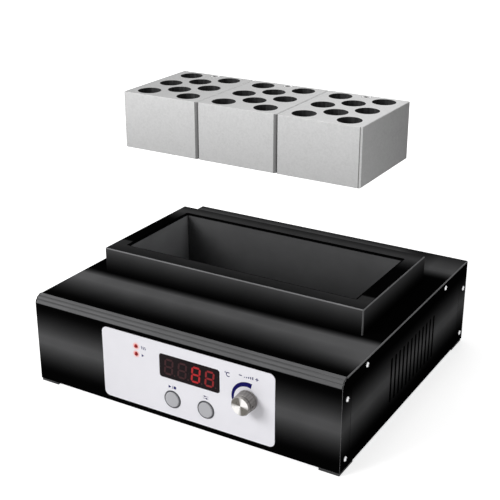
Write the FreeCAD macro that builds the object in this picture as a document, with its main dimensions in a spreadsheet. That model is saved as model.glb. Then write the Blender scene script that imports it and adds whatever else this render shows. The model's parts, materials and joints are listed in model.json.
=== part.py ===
import FreeCAD, Part
import math
import os
import Sketcher

# Dry bath incubator: a low sheet-metal case with a ribbed nose, a raised collar
# round a heated well, and three lift-out metal blocks with staggered tube wells.
# X runs to the right, Y to the back and Z up. All lengths are in millimetres.

DRIVING = {
    # Blocks
    "block_width": 76, "block_depth": 95, "block_height": 50, "block_gap": 0.5,
    "block_chamfer": 1.2, "block_edge": 0.4, "tube_radius": 10.25, "tube_depth": 45,
    "tube_pitch_side": 20.3, "tube_pitch_row": 16.6, "probe_radius": 3, "probe_depth": 38,
    "probe_edge": 5,
    "block_lift": 146, "seat_clearance": 0.3, "rim_drop": 2,
    # Case
    "sheet": 1.5, "tray_sheet": 1.2, "case_height": 84, "foot_height": 2.5,
    "side_margin": 19.5, "rear_margin": 62, "seam": 0.3, "edge_radius": 1.2,
    "nose_depth": 8, "nose_height": 7, "nose_lip": 10, "rib_groove": 0.45,
    "front_strip": 16, "rear_strip": 18, "top_flange": 11, "tray_lip": 9,
    "tray_shoulder": 4,
    "foot_width": 18, "foot_length": 24, "foot_inset": 0.6,
    "vent_width": 3.2, "vent_height": 41.5, "vent_pitch": 8.45, "vent_base": 19.3,
    "vent_start": 93.7, "vent_count": 12, "vent_radius": 1.4, "window_border": 6,
    # Collar and well
    "collar_setback": 76, "collar_height": 23, "collar_sheet": 1.5, "collar_radius": 1.6,
    "ledge_side": 15, "ledge_front": 17, "boss_radius": 3.5, "boss_inset": 4.2,
    "boss_room": 1.75,
    "well_gap": 1.0, "liner_sheet": 1.2, "liner_drop": 0.6, "mouth_gap": 0.6,
    "plate_thickness": 10, "plate_gap": 0.3, "mat_thickness": 1.5, "pad_thickness": 12,
    "wool_thickness": 11, "wool_gap": 0.3, "cradle_foot": 12,
    "cradle_screw_inset": 12, "sensor_radius": 2.4, "sensor_offset": 60, "sensor_tail": 5,
    "sensor_cover": 2, "cutout_radius": 8, "cutout_height": 8,
    "sleeve_gap": 0.2,
    # Front panel
    "overlay_width": 169, "overlay_height": 66, "overlay_thickness": 0.5,
    "overlay_radius": 5, "panel_x": 8, "panel_z": 40.5, "display_width": 58.6,
    "display_height": 21.2, "display_x": 12, "display_z": 52.8, "display_radius": 2.5,
    "display_rim": 1.5, "display_proud": 0.2, "display_skirt": 1, "module_side": 4,
    "module_edge": 1, "lamp_x": -41, "lamp_z": 59.8, "lamp_pitch": 7.2, "lamp_radius": 1.5,
    "lamp_proud": 0.6,
    "button_radius": 6.9, "button_z": 23, "button_x": 11.3, "button_pitch": 33,
    "button_travel": 1.0, "button_proud": 1.2, "button_bevel": 0.6, "button_skirt": 2,
    "ring_width": 0.8, "ring_proud": 0.4, "ring_skirt": 1, "moving_gap": 0.3,
    "stem_radius": 2.2, "plunger_radius": 1.6, "plunger_depth": 0.6, "plunger_stand": 1,
    "switch_size": 12, "switch_height": 4,
    "knob_x": 68, "knob_z": 44.5, "knob_radius": 9, "knob_length": 12, "knob_gap": 0.6,
    "knob_taper": 0.5, "knob_bevel": 0.8, "knob_back_bevel": 0.5, "knob_dish": 0.7,
    "knob_groove": 0.5, "groove_set": 2.2, "groove_side": 0.3, "groove_floor": 0.5,
    "knob_web": 3, "set_screw_back": 6.6, "set_screw_hole": 1.2, "set_screw_radius": 1.15,
    "set_screw_sink": 0.6, "shaft_radius": 3, "shaft_tail": 2, "fit_gap": 0.03,
    "bush_radius": 3.5, "bush_proud": 0.6, "nut_radius": 5.6, "nut_height": 2,
    "nut_room": 0.8, "nut_room_depth": 1.4, "encoder_size": 13, "encoder_depth": 7.5,
    "board_setback": 14, "board_thickness": 1.6, "board_width": 150, "board_height": 54,
    "standoff_radius": 3, "standoff_inset": 5, "header_rise": 16, "header_height": 7,
    "header_depth": 4, "header_side": 2,
    # Fasteners
    "screw_radius": 1.4, "screw_hole": 1.6, "screw_head": 2.7, "head_height": 1.6,
    "head_sink": 0.3, "screw_reach": 4, "strip_screw_high": 65, "strip_screw_low": 12,
    "strip_screw_inset": 8.5, "strip_screw_step": 6, "flange_screw_drop": 5.5,
    "flange_screw_front": 43, "flange_screw_rear": 211,
    # Mains inlet, switch and power board at the back
    "inlet_x": -98, "inlet_z": 42, "inlet_flange_width": 50, "inlet_flange_height": 34,
    "inlet_flange": 3, "inlet_corner": 3, "inlet_body_width": 28, "inlet_body_height": 30,
    "inlet_depth": 22, "socket_width": 24.4, "socket_height": 16.2, "socket_depth": 16,
    "socket_z": 5, "socket_corner": 5, "pin_width": 4, "pin_thickness": 2, "pin_pitch": 14,
    "pin_stagger": 2, "pin_length": 13, "pin_tail": 8, "inlet_screw_pitch": 40,
    "drawer_width": 22.4, "drawer_height": 7.4, "drawer_depth": 15, "drawer_z": -10,
    "drawer_lip": 1.6, "drawer_corner": 0.4, "drawer_end": 1.5, "drawer_floor": 1,
    "lip_height": 2.2, "fuse_radius": 2.5, "fuse_length": 20, "fuse_room": 0.5,
    "rocker_x": -48, "rocker_z": 42, "rocker_width": 11, "rocker_half": 8.2,
    "rocker_rise": 3.5, "rocker_valley": 2, "rocker_tilt": 10, "rocker_sink": 0.5,
    "rocker_bezel": 2, "bezel_border": 2, "rocker_wall": 1.5, "pin_radius": 1.25,
    "contact_length": 8, "contact_thickness": 0.8, "contact_width": 4.8, "contact_pitch": 6,
    "power_x": 62, "power_width": 110, "power_depth": 32, "power_inset": 20,
    "power_rise": 8, "transformer_x": 26, "core_width": 34, "core_depth": 28,
    "core_height": 29, "winding_width": 42, "winding_depth": 20, "winding_height": 17,
    "winding_rise": 6, "relay_x": -8, "relay_width": 15, "relay_depth": 19,
    "relay_height": 16, "sink_x": -32, "sink_depth": 24, "web_width": 24, "web_height": 3,
    "fin_height": 28, "fin_thickness": 1.4, "fin_pitch": 4,
    "ribbon_width": 26, "ribbon_thickness": 0.8, "ribbon_x": 30, "ribbon_end": 6,
    "stud_radius": 2, "stud_height": 12, "stud_nut": 4, "stud_nut_height": 3.2,
    "stud_x": -30, "stud_inset": 26,
    # How far a cutting or joining tool runs past the face that it meets
    "overrun": 1,
}

# Plain counts and tolerances
RIB_COUNT = 3
FIN_COUNT = 6
DIRECTION_TOLERANCE = 1e-6
PLACE_TOLERANCE = 1e-4

doc = FreeCAD.newDocument("dry_bath_incubator")
dims = doc.addObject("Spreadsheet::Sheet", "dims")
for row, (alias, size) in enumerate(DRIVING.items(), start=1):
    dims.set(f"A{row}", alias)
    dims.set(f"B{row}", str(size))
    dims.setAlias(f"B{row}", alias)
doc.recompute()

# Places that several pieces share, as expressions of the driving dimensions
HALF_WELL = "((3*dims.block_width + 2*dims.block_gap)/2 + dims.well_gap)"
HALF_WELL_DEPTH = "(dims.block_depth/2 + dims.well_gap)"
HALF_LINER = f"({HALF_WELL} + dims.liner_sheet)"
HALF_LINER_DEPTH = f"({HALF_WELL_DEPTH} + dims.liner_sheet)"
HALF_COLLAR = f"({HALF_WELL} + dims.ledge_side)"
HALF_COLLAR_DEPTH = f"({HALF_WELL_DEPTH} + dims.ledge_front)"
HALF_CASE = f"({HALF_COLLAR} + dims.side_margin)"
CASE_WIDTH = f"(2*{HALF_CASE})"
CASE_DEPTH = f"(dims.collar_setback + 2*{HALF_COLLAR_DEPTH} + dims.rear_margin)"
HALF_TRAY = f"({HALF_CASE} - dims.sheet)"
REAR_INSIDE = f"({CASE_DEPTH} - dims.sheet)"
WELL_Y = f"(dims.collar_setback + {HALF_COLLAR_DEPTH})"
RIM = "(dims.case_height + dims.collar_height)"
SEAT = f"({RIM} - dims.rim_drop - dims.block_height)"
MAT_TOP = f"({SEAT} - dims.plate_thickness)"
PAD_TOP = f"({MAT_TOP} - dims.mat_thickness)"
PAD_BASE = f"({PAD_TOP} - dims.pad_thickness)"
FLOOR = "(dims.foot_height + dims.tray_sheet)"
UNDER_TOP = "(dims.case_height - dims.sheet)"
PANEL_FACE = "(-dims.overlay_thickness)"
SWITCH_FACE = "(dims.board_setback - dims.switch_height)"
STEM_END = f"({SWITCH_FACE} - dims.plunger_stand)"
SHAFT_END = "(dims.board_setback - dims.shaft_tail)"
BOARD_BACK = "(dims.board_setback + dims.board_thickness)"
NOSE_RADIUS = "((dims.nose_depth^2 + dims.nose_height^2)/(2*dims.nose_height))"
NOSE_CENTRE_Z = f"(dims.case_height - {NOSE_RADIUS})"
NOSE_SHOULDER = "(dims.case_height - dims.nose_height)"
FRONT_REACH = "(dims.overlay_thickness + dims.knob_gap + dims.knob_length)"
REAR_REACH = "(dims.inlet_flange + dims.drawer_lip)"
# The front face lies here, so that the whole outline is centred on the origin.
FRONT = f"(({FRONT_REACH} - {CASE_DEPTH} - {REAR_REACH})/2)"

TURN = {
    "z": FreeCAD.Rotation(),
    "y": FreeCAD.Rotation(FreeCAD.Vector(1, 0, 0), -90),
    "x": FreeCAD.Rotation(FreeCAD.Vector(0, 1, 0), 90),
}
PLANES = {"xy": "XY_Plane", "xz": "XZ_Plane", "yz": "YZ_Plane"}
nodes = []


def number(expression):
    """The present value of an expression, for first positions in a sketch."""
    return float(dims.evalExpression(str(expression)))


def bind(item, **expressions):
    for prop, expression in expressions.items():
        item.setExpression(prop, str(expression))


def place(item, x="0", y="0", z="0"):
    for axis, expression in zip("xyz", (x, y, z)):
        item.setExpression(f"Placement.Base.{axis}", str(expression))


def node(item, label, x="0", y="0", z="0"):
    """Names a finished piece and moves it from the front-face datum to its place."""
    item.Label = label
    place(item, x, f"{FRONT} + ({y})", z)
    nodes.append(item)
    return item


# Solids that need no sketch

def box(x, y, z):
    """A box between pairs of low and high coordinates."""
    item = doc.addObject("Part::Box", "Block")
    bind(item, Length=f"({x[1]}) - ({x[0]})", Width=f"({y[1]}) - ({y[0]})",
         Height=f"({z[1]}) - ({z[0]})")
    place(item, x[0], y[0], z[0])
    return item


def centred_box(x, y, z, width, depth, height):
    return box((f"({x}) - ({width})/2", f"({x}) + ({width})/2"),
               (f"({y}) - ({depth})/2", f"({y}) + ({depth})/2"), (z, f"({z}) + ({height})"))


def rod(x, y, z, radius, length, along="z"):
    item = doc.addObject("Part::Cylinder", "Rod")
    item.Placement = FreeCAD.Placement(FreeCAD.Vector(), TURN[along])
    bind(item, Radius=radius, Height=length)
    place(item, x, y, z)
    return item


def group(items):
    item = doc.addObject("Part::Compound", "Group")
    item.Links = items
    return item


def fuse(items):
    item = doc.addObject("Part::MultiFuse", "Joined")
    item.Shapes = items
    item.Refine = True
    return item


def cut(base, tools):
    item = doc.addObject("Part::Cut", "Cut")
    item.Base = base
    item.Tool = tools[0] if len(tools) == 1 else group(tools)
    item.Refine = True
    return item


def shifted(x, y, z, along, distance):
    """A place moved along one axis."""
    return [f"({value}) + ({distance})" if axis == along else value
            for axis, value in zip("xyz", (x, y, z))]


def screw(x, y, z, along, towards=1, reach="dims.screw_reach"):
    """A pan-head screw whose head seats at the point and stands out towards the viewer."""
    shank_start = f"-({reach})" if towards > 0 else "0"
    head_start = "0" if towards > 0 else "-dims.head_height"
    shank = rod(*shifted(x, y, z, along, shank_start), "dims.screw_radius", reach, along)
    head = rod(*shifted(x, y, z, along, head_start), "dims.screw_head", "dims.head_height",
               along)
    return fuse([shank, head])


# Sketched solids

def new_body(name):
    return doc.addObject("PartDesign::Body", name)


def new_sketch(body, plane, offset="0"):
    """A sketch on a plane of the body, moved along the plane's own normal."""
    item = body.newObject("Sketcher::SketchObject", "Sketch")
    origin = [f for f in body.Origin.OriginFeatures if f.Role == PLANES[plane]][0]
    item.AttachmentSupport = [(origin, "")]
    item.MapMode = "FlatFace"
    item.setExpression("AttachmentOffset.Base.z", str(offset))
    return item


def pin_point(sketch, geometry, end, x, y):
    """Fixes one end of an edge, or a centre, at two bound distances from the origin."""
    for kind, expression in (("DistanceX", x), ("DistanceY", y)):
        index = sketch.addConstraint(
            Sketcher.Constraint(kind, -1, 1, geometry, end, number(expression)))
        name = f"{kind}_{geometry}_{end}"
        sketch.renameConstraint(index, name)
        sketch.setExpression(f"Constraints.{name}", str(expression))


def outline(sketch, points, arcs=None):
    """A closed outline through the points; arcs maps an edge to its centre and sense."""
    arcs = arcs or {}
    spots = [FreeCAD.Vector(number(x), number(y), 0) for x, y in points]
    count = len(points)
    edges = []
    for index in range(count):
        start, end = spots[index], spots[(index + 1) % count]
        if index in arcs:
            cx, cy, sense = arcs[index]
            centre = FreeCAD.Vector(number(cx), number(cy), 0)
            circle = Part.Circle(centre, FreeCAD.Vector(0, 0, 1), (start - centre).Length)
            angles = [math.atan2(p.y - centre.y, p.x - centre.x) for p in (start, end)]
            first, last = angles if sense > 0 else reversed(angles)
            last += 2 * math.pi if last < first else 0
            edge = sketch.addGeometry(Part.ArcOfCircle(circle, first, last), False)
            edges.append((edge, (1, 2) if sense > 0 else (2, 1)))
        else:
            edge = sketch.addGeometry(Part.LineSegment(start, end), False)
            edges.append((edge, (1, 2)))
    for index in range(count):
        edge, ends = edges[index]
        following, following_ends = edges[(index + 1) % count]
        sketch.addConstraint(
            Sketcher.Constraint("Coincident", edge, ends[1], following, following_ends[0]))
    for index, (edge, ends) in enumerate(edges):
        pin_point(sketch, edge, ends[0], *points[index])
    for index, (cx, _, _) in arcs.items():
        # One end already fixes the radius, so the centre needs a single distance.
        edge = edges[index][0]
        grip = sketch.addConstraint(
            Sketcher.Constraint("DistanceX", -1, 1, edge, 3, number(cx)))
        sketch.renameConstraint(grip, f"centre_{edge}")
        sketch.setExpression(f"Constraints.centre_{edge}", str(cx))


def rounded(sketch, x, y, radius):
    """A rectangle between pairs of coordinates with round corners."""
    x0, x1, y0, y1 = (number(e) for e in (*x, *y))
    size = number(radius)
    centres = [(x0 + size, y0 + size), (x1 - size, y0 + size),
               (x1 - size, y1 - size), (x0 + size, y1 - size)]
    arcs = []
    quarter = math.pi / 2
    first = math.pi
    for centre in centres:
        ring = Part.Circle(FreeCAD.Vector(*centre, 0), FreeCAD.Vector(0, 0, 1), size)
        arcs.append(sketch.addGeometry(Part.ArcOfCircle(ring, first, first + quarter), False))
        first += quarter
    for index in range(4):
        start = sketch.getPoint(arcs[index], 2)
        end = sketch.getPoint(arcs[(index + 1) % 4], 1)
        side = sketch.addGeometry(Part.LineSegment(start, end), False)
        sketch.addConstraint(Sketcher.Constraint("Tangent", arcs[index], 2, side, 1))
        sketch.addConstraint(
            Sketcher.Constraint("Tangent", side, 2, arcs[(index + 1) % 4], 1))
    for index in range(1, 4):
        sketch.addConstraint(Sketcher.Constraint("Equal", arcs[0], arcs[index]))
    grip = sketch.addConstraint(Sketcher.Constraint("Radius", arcs[0], size))
    sketch.renameConstraint(grip, f"radius_{arcs[0]}")
    sketch.setExpression(f"Constraints.radius_{arcs[0]}", str(radius))
    pin_point(sketch, arcs[0], 3, f"({x[0]}) + ({radius})", f"({y[0]}) + ({radius})")
    pin_point(sketch, arcs[2], 3, f"({x[1]}) - ({radius})", f"({y[1]}) - ({radius})")


def circle(sketch, x, y, radius):
    spot = FreeCAD.Vector(number(x), number(y), 0)
    ring = sketch.addGeometry(
        Part.Circle(spot, FreeCAD.Vector(0, 0, 1), number(radius)), False)
    grip = sketch.addConstraint(Sketcher.Constraint("Radius", ring, number(radius)))
    sketch.renameConstraint(grip, f"radius_{ring}")
    sketch.setExpression(f"Constraints.radius_{ring}", str(radius))
    pin_point(sketch, ring, 3, x, y)


def pad(body, sketch, length):
    """Raises a sketch along its plane's normal."""
    item = body.newObject("PartDesign::Pad", "Pad")
    item.Profile = sketch
    bind(item, Length=length)
    doc.recompute()
    return item


def pocket(body, sketch, depth, along_normal=False):
    """Cuts a sketch against its plane's normal, or along it, and checks that it cut."""
    before = body.Shape.Volume
    item = body.newObject("PartDesign::Pocket", "Pocket")
    item.Profile = sketch
    item.Reversed = along_normal
    bind(item, Length=depth)
    doc.recompute()
    if not body.Shape.Volume < before:
        raise RuntimeError(f"{body.Name}: a pocket cuts nothing")
    return item


def revolve(body, sketch, axis="V_Axis"):
    item = body.newObject("PartDesign::Revolution", "Revolution")
    item.Profile = sketch
    item.ReferenceAxis = (sketch, [axis])
    item.Angle = 360
    doc.recompute()
    return item


def edges_where(shape, test):
    return [f"Edge{n}" for n, edge in enumerate(shape.Edges, start=1) if test(edge)]


def ease(body, kind, test, size):
    """Rounds or chamfers the edges of the present solid that pass the test."""
    tip = body.Tip
    item = body.newObject(f"PartDesign::{kind}", kind)
    item.Base = (tip, edges_where(tip.Shape, test))
    bind(item, **{"Radius" if kind == "Fillet" else "Size": size})
    doc.recompute()
    return item


def straight(edge, axis):
    """True for a straight edge along one axis."""
    if edge.Curve.TypeId != "Part::GeomLine":
        return False
    return edge.Curve.Direction.cross(axis).Length < DIRECTION_TOLERANCE


def near(value, target):
    return abs(value - target) < PLACE_TOLERANCE


X_AXIS = FreeCAD.Vector(1, 0, 0)
Y_AXIS = FreeCAD.Vector(0, 1, 0)
Z_AXIS = FreeCAD.Vector(0, 0, 1)


# Places of the fasteners on one side of the case: depth and height

def side_screw_spots():
    rear = f"({CASE_DEPTH} - dims.strip_screw_inset)"
    high = "(dims.case_height - dims.flange_screw_drop)"
    return [("dims.strip_screw_inset", "dims.strip_screw_high"),
            ("dims.strip_screw_inset", "dims.strip_screw_low"),
            (rear, "(dims.strip_screw_high - dims.strip_screw_step)"), (rear, "dims.strip_screw_low"),
            ("dims.flange_screw_front", high), ("dims.flange_screw_rear", high)]


def side_holes(sketch, chosen):
    spots = side_screw_spots()
    for index in chosen:
        circle(sketch, *spots[index], "dims.screw_hole")


def button_x(side):
    return f"(dims.button_x + ({side})*dims.button_pitch/2)"


def lamp_z(side):
    return f"(dims.lamp_z + ({side})*dims.lamp_pitch/2)"


def board_corners():
    """Fixing points of the control board: place across and height."""
    half_x = "(dims.board_width/2 - dims.standoff_inset)"
    half_z = "(dims.board_height/2 - dims.standoff_inset)"
    return [(f"(dims.panel_x + ({sx})*{half_x})", f"(dims.panel_z + ({sz})*{half_z})")
            for sx in (-1, 1) for sz in (-1, 1)]


# Front fascia: front wall, ribbed nose and a lip under the top sheet

def front_cutouts(sketch, rim):
    """Openings for the window, lamps, buttons and knob bush, grown by a rim."""
    half_w = f"(dims.display_width/2 + ({rim}))"
    half_h = f"(dims.display_height/2 + ({rim}))"
    rounded(sketch, (f"dims.display_x - {half_w}", f"dims.display_x + {half_w}"),
            (f"dims.display_z - {half_h}", f"dims.display_z + {half_h}"),
            "dims.display_radius")
    for side in (-1, 1):
        circle(sketch, "dims.lamp_x", lamp_z(side), f"dims.lamp_radius + ({rim})")
        circle(sketch, button_x(side), "dims.button_z",
               f"dims.button_radius + dims.moving_gap + dims.ring_width + ({rim})")
    circle(sketch, "dims.knob_x", "dims.knob_z", f"dims.bush_radius + ({rim})")


def front_fascia():
    body = new_body("FrontFascia")
    lip_base = f"({UNDER_TOP} - dims.sheet)"
    inner_radius = "(dims.nose_depth - dims.sheet)"
    inner_centre = f"({lip_base} - {inner_radius})"
    profile = new_sketch(body, "yz", f"-{HALF_CASE}")
    outline(profile, [
        ("0", "dims.foot_height"), ("0", NOSE_SHOULDER), ("dims.nose_depth", "dims.case_height"),
        ("dims.nose_depth", lip_base), ("dims.sheet", inner_centre),
        ("dims.sheet", "dims.foot_height")],
        arcs={1: ("dims.nose_depth", NOSE_CENTRE_Z, -1),
              3: ("dims.nose_depth", inner_centre, 1)})
    pad(body, profile, CASE_WIDTH)
    lip_half = f"({HALF_TRAY} - dims.seam)"
    lip = new_sketch(body, "yz", f"-{lip_half}")
    lip_start = "(dims.nose_depth - dims.sheet)"
    lip_end = "(dims.nose_depth + dims.nose_lip)"
    outline(lip, [(lip_start, lip_base), (lip_end, lip_base), (lip_end, UNDER_TOP),
                  (lip_start, UNDER_TOP)])
    pad(body, lip, f"2*{lip_half}")
    for offset in (f"-{HALF_CASE}", f"{HALF_TRAY}"):
        cheek = new_sketch(body, "yz", offset)
        outline(cheek, [
            ("0", "dims.foot_height"), ("0", NOSE_SHOULDER),
            ("dims.nose_depth", "dims.case_height"), ("dims.nose_depth", UNDER_TOP),
            ("dims.front_strip", UNDER_TOP), ("dims.front_strip", "dims.foot_height")],
            arcs={1: ("dims.nose_depth", NOSE_CENTRE_Z, -1)})
        pad(body, cheek, "dims.sheet")
    # Two grooves along the nose leave three ribs.
    ribs = new_sketch(body, "yz", f"-{HALF_CASE}")
    for groove in range(1, RIB_COUNT):
        angle = f"({groove}/{RIB_COUNT}*asin(dims.nose_depth/{NOSE_RADIUS}))"
        circle(ribs, f"dims.nose_depth - {NOSE_RADIUS}*sin({angle})",
               f"{NOSE_CENTRE_Z} + {NOSE_RADIUS}*cos({angle})", "dims.rib_groove")
    pocket(body, ribs, CASE_WIDTH, along_normal=True)
    openings = new_sketch(body, "xz")
    front_cutouts(openings, "dims.sleeve_gap")
    pocket(body, openings, "dims.sheet")
    holes = new_sketch(body, "yz", f"-{HALF_CASE}")
    side_holes(holes, (0, 1))
    pocket(body, holes, CASE_WIDTH, along_normal=True)
    node(body, "front_fascia")


# Top cover: flat sheet with a well cutout and two side flanges

def top_cover():
    body = new_body("TopCover")
    start = "(dims.nose_depth + dims.seam)"
    sheet = new_sketch(body, "xy", UNDER_TOP)
    outline(sheet, [(f"-{HALF_CASE}", start), (HALF_CASE, start),
                    (HALF_CASE, CASE_DEPTH), (f"-{HALF_CASE}", CASE_DEPTH)])
    pad(body, sheet, "dims.sheet")
    for offset in (f"-{HALF_CASE}", HALF_TRAY):
        flange = new_sketch(body, "yz", offset)
        front = "(dims.front_strip + dims.seam)"
        rear = f"({CASE_DEPTH} - dims.rear_strip - dims.seam)"
        low = "(dims.case_height - dims.top_flange)"
        high = "(dims.case_height - dims.sheet/2)"
        outline(flange, [(front, low), (rear, low), (rear, high), (front, high)])
        pad(body, flange, "dims.sheet")
    opening = new_sketch(body, "xy", "dims.case_height")
    half_x = f"({HALF_LINER} + dims.mouth_gap)"
    half_y = f"({HALF_LINER_DEPTH} + dims.mouth_gap)"
    rounded(opening, (f"-{half_x}", half_x), (f"{WELL_Y} - {half_y}", f"{WELL_Y} + {half_y}"),
            "dims.collar_radius")
    pocket(body, opening, "dims.sheet")
    fixings = new_sketch(body, "xy", "dims.case_height")
    for x, y in collar_bosses():
        circle(fixings, x, y, "dims.screw_hole")
    pocket(body, fixings, "dims.sheet")
    holes = new_sketch(body, "yz", f"-{HALF_CASE}")
    side_holes(holes, (4, 5))
    pocket(body, holes, CASE_WIDTH, along_normal=True)
    half, high = number(HALF_CASE), number("dims.case_height")

    def upper_side_edge(edge):
        box_of = edge.BoundBox
        return straight(edge, Y_AXIS) and near(abs(box_of.XMin), half) and near(box_of.ZMax, high)

    ease(body, "Fillet", upper_side_edge, "dims.edge_radius")
    node(body, "top_cover")


# Side panels: flat plates with a row of upright vent slots

def side_panel(label, offset):
    body = new_body(label)
    front = "(dims.front_strip + dims.seam)"
    rear = f"({CASE_DEPTH} - dims.rear_strip - dims.seam)"
    high = "(dims.case_height - dims.top_flange - dims.seam)"
    plate = new_sketch(body, "yz", offset)
    outline(plate, [(front, "dims.foot_height"), (rear, "dims.foot_height"),
                    (rear, high), (front, high)])
    pad(body, plate, "dims.sheet")
    slot = new_sketch(body, "yz", offset)
    rounded(slot, ("dims.vent_start - dims.vent_width/2", "dims.vent_start + dims.vent_width/2"),
            ("dims.vent_base", "dims.vent_base + dims.vent_height"), "dims.vent_radius")
    first = pocket(body, slot, "dims.sheet", along_normal=True)
    row = body.newObject("PartDesign::LinearPattern", "VentRow")
    row.Originals = [first]
    row.Direction = (slot, ["H_Axis"])
    bind(row, Occurrences="dims.vent_count", Length="(dims.vent_count - 1)*dims.vent_pitch")
    body.Tip = row
    doc.recompute()
    node(body, label)


# Rear panel: back wall with side returns and cutouts for the inlet and switch

def rear_panel():
    body = new_body("RearPanel")
    wall = new_sketch(body, "xy", "dims.foot_height")
    front = f"({CASE_DEPTH} - dims.rear_strip)"
    outline(wall, [
        (f"-{HALF_CASE}", front), (f"-{HALF_TRAY}", front), (f"-{HALF_TRAY}", REAR_INSIDE),
        (HALF_TRAY, REAR_INSIDE), (HALF_TRAY, front), (HALF_CASE, front),
        (HALF_CASE, CASE_DEPTH), (f"-{HALF_CASE}", CASE_DEPTH)])
    pad(body, wall, f"{UNDER_TOP} - dims.foot_height")
    openings = new_sketch(body, "xz", f"-{REAR_INSIDE}")
    for x, z, width, height, corner in (
            ("dims.inlet_x", "dims.inlet_z", "dims.inlet_body_width",
             "dims.inlet_body_height", "dims.edge_radius"),
            ("dims.rocker_x", "dims.rocker_z", SWITCH_WIDTH, SWITCH_HEIGHT, "dims.sleeve_gap")):
        half_x = f"(({width})/2 + dims.sleeve_gap)"
        half_z = f"(({height})/2 + dims.sleeve_gap)"
        rounded(openings, (f"{x} - {half_x}", f"{x} + {half_x}"),
                (f"{z} - {half_z}", f"{z} + {half_z}"), corner)
    for side in (-1, 1):
        circle(openings, f"dims.inlet_x + ({side})*dims.inlet_screw_pitch/2", "dims.inlet_z",
               "dims.screw_hole")
    pocket(body, openings, "dims.sheet")
    holes = new_sketch(body, "yz", f"-{HALF_CASE}")
    side_holes(holes, (2, 3))
    pocket(body, holes, CASE_WIDTH, along_normal=True)
    node(body, "rear_panel")


# Base tray: floor, inner side walls with vent windows, and low end lips

def base_tray():
    body = new_body("BaseTray")
    floor = new_sketch(body, "xy", "dims.foot_height")
    outline(floor, [(f"-{HALF_TRAY}", "dims.sheet"), (HALF_TRAY, "dims.sheet"),
                    (HALF_TRAY, REAR_INSIDE), (f"-{HALF_TRAY}", REAR_INSIDE)])
    pad(body, floor, "dims.tray_sheet")
    step = "(dims.nose_depth + dims.nose_lip + dims.moving_gap)"
    shoulder = "(dims.strip_screw_high + dims.tray_shoulder)"
    wall_points = [("dims.sheet", "dims.foot_height"), (REAR_INSIDE, "dims.foot_height"),
                   (REAR_INSIDE, UNDER_TOP), (step, UNDER_TOP), (step, shoulder),
                   ("dims.sheet", shoulder)]
    for offset in (f"-{HALF_TRAY}", f"{HALF_TRAY} - dims.tray_sheet"):
        wall = new_sketch(body, "yz", offset)
        outline(wall, wall_points)
        pad(body, wall, "dims.tray_sheet")
    for front, rear in (("dims.sheet", "(dims.sheet + dims.tray_sheet)"),
                        (f"({REAR_INSIDE} - dims.tray_sheet)", REAR_INSIDE)):
        lip = new_sketch(body, "xy", "dims.foot_height")
        outline(lip, [(f"-{HALF_TRAY}", front), (HALF_TRAY, front), (HALF_TRAY, rear),
                      (f"-{HALF_TRAY}", rear)])
        pad(body, lip, "dims.tray_lip")
    window = new_sketch(body, "yz", f"-{HALF_TRAY}")
    span = "((dims.vent_count - 1)*dims.vent_pitch)"
    border = "dims.window_border"
    rounded(window, (f"dims.vent_start - {border}", f"dims.vent_start + {span} + {border}"),
            (f"dims.vent_base - {border}/2",
             f"dims.vent_base + dims.vent_height + {border}/2"), border + "/2")
    pocket(body, window, f"2*{HALF_TRAY}", along_normal=True)
    holes = new_sketch(body, "yz", f"-{HALF_TRAY}")
    side_holes(holes, range(6))
    pocket(body, holes, f"2*{HALF_TRAY}", along_normal=True)
    fixings = new_sketch(body, "xy", FLOOR)
    for x, y in foot_spots() + cradle_screw_spots() + power_corners():
        circle(fixings, x, y, "dims.screw_hole")
    pocket(body, fixings, "dims.tray_sheet")
    node(body, "base_tray")


def foot_spots():
    half = f"({HALF_CASE} - dims.foot_inset - dims.foot_width/2)"
    front = "(dims.foot_inset + dims.foot_length/2)"
    rear = f"({CASE_DEPTH} - dims.foot_inset - dims.foot_length/2)"
    return [(f"({side})*{half}", y) for side in (-1, 1) for y in (front, rear)]


def feet():
    pads, screws = [], []
    for x, y in foot_spots():
        block = centred_box(x, y, "0", "dims.foot_width", "dims.foot_length",
                            "dims.foot_height")
        seat = "(dims.head_height + dims.head_sink)"
        sink = rod(x, y, "0", "dims.screw_head + dims.sleeve_gap", seat)
        hole = rod(x, y, "0", "dims.screw_hole", "dims.foot_height")
        pads.append(cut(block, [fuse([sink, hole])]))
        screws.append(screw(x, y, seat, "z", -1, "dims.screw_reach"))
    node(group(pads), "corner_feet")
    node(group(screws), "foot_screws")


def side_screws():
    screws = []
    for y, z in side_screw_spots():
        screws.append(screw(HALF_CASE, y, z, "x", 1))
        screws.append(screw(f"-{HALF_CASE}", y, z, "x", -1))
    node(group(screws), "side_screws")


# Collar: a rounded hat with a flat ledge round the well mouth

def collar_bosses():
    half_x = f"({HALF_COLLAR} - dims.collar_sheet - dims.boss_inset)"
    half_y = f"({HALF_COLLAR_DEPTH} - dims.collar_sheet - dims.boss_inset)"
    return [(f"({sx})*{half_x}", f"{WELL_Y} + ({sy})*{half_y}")
            for sx in (-1, 1) for sy in (-1, 1)]


def spread(half_x, half_y):
    """Pairs of coordinates centred on the well."""
    return (f"-({half_x})", f"({half_x})"), (f"{WELL_Y} - ({half_y})", f"{WELL_Y} + ({half_y})")


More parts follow.
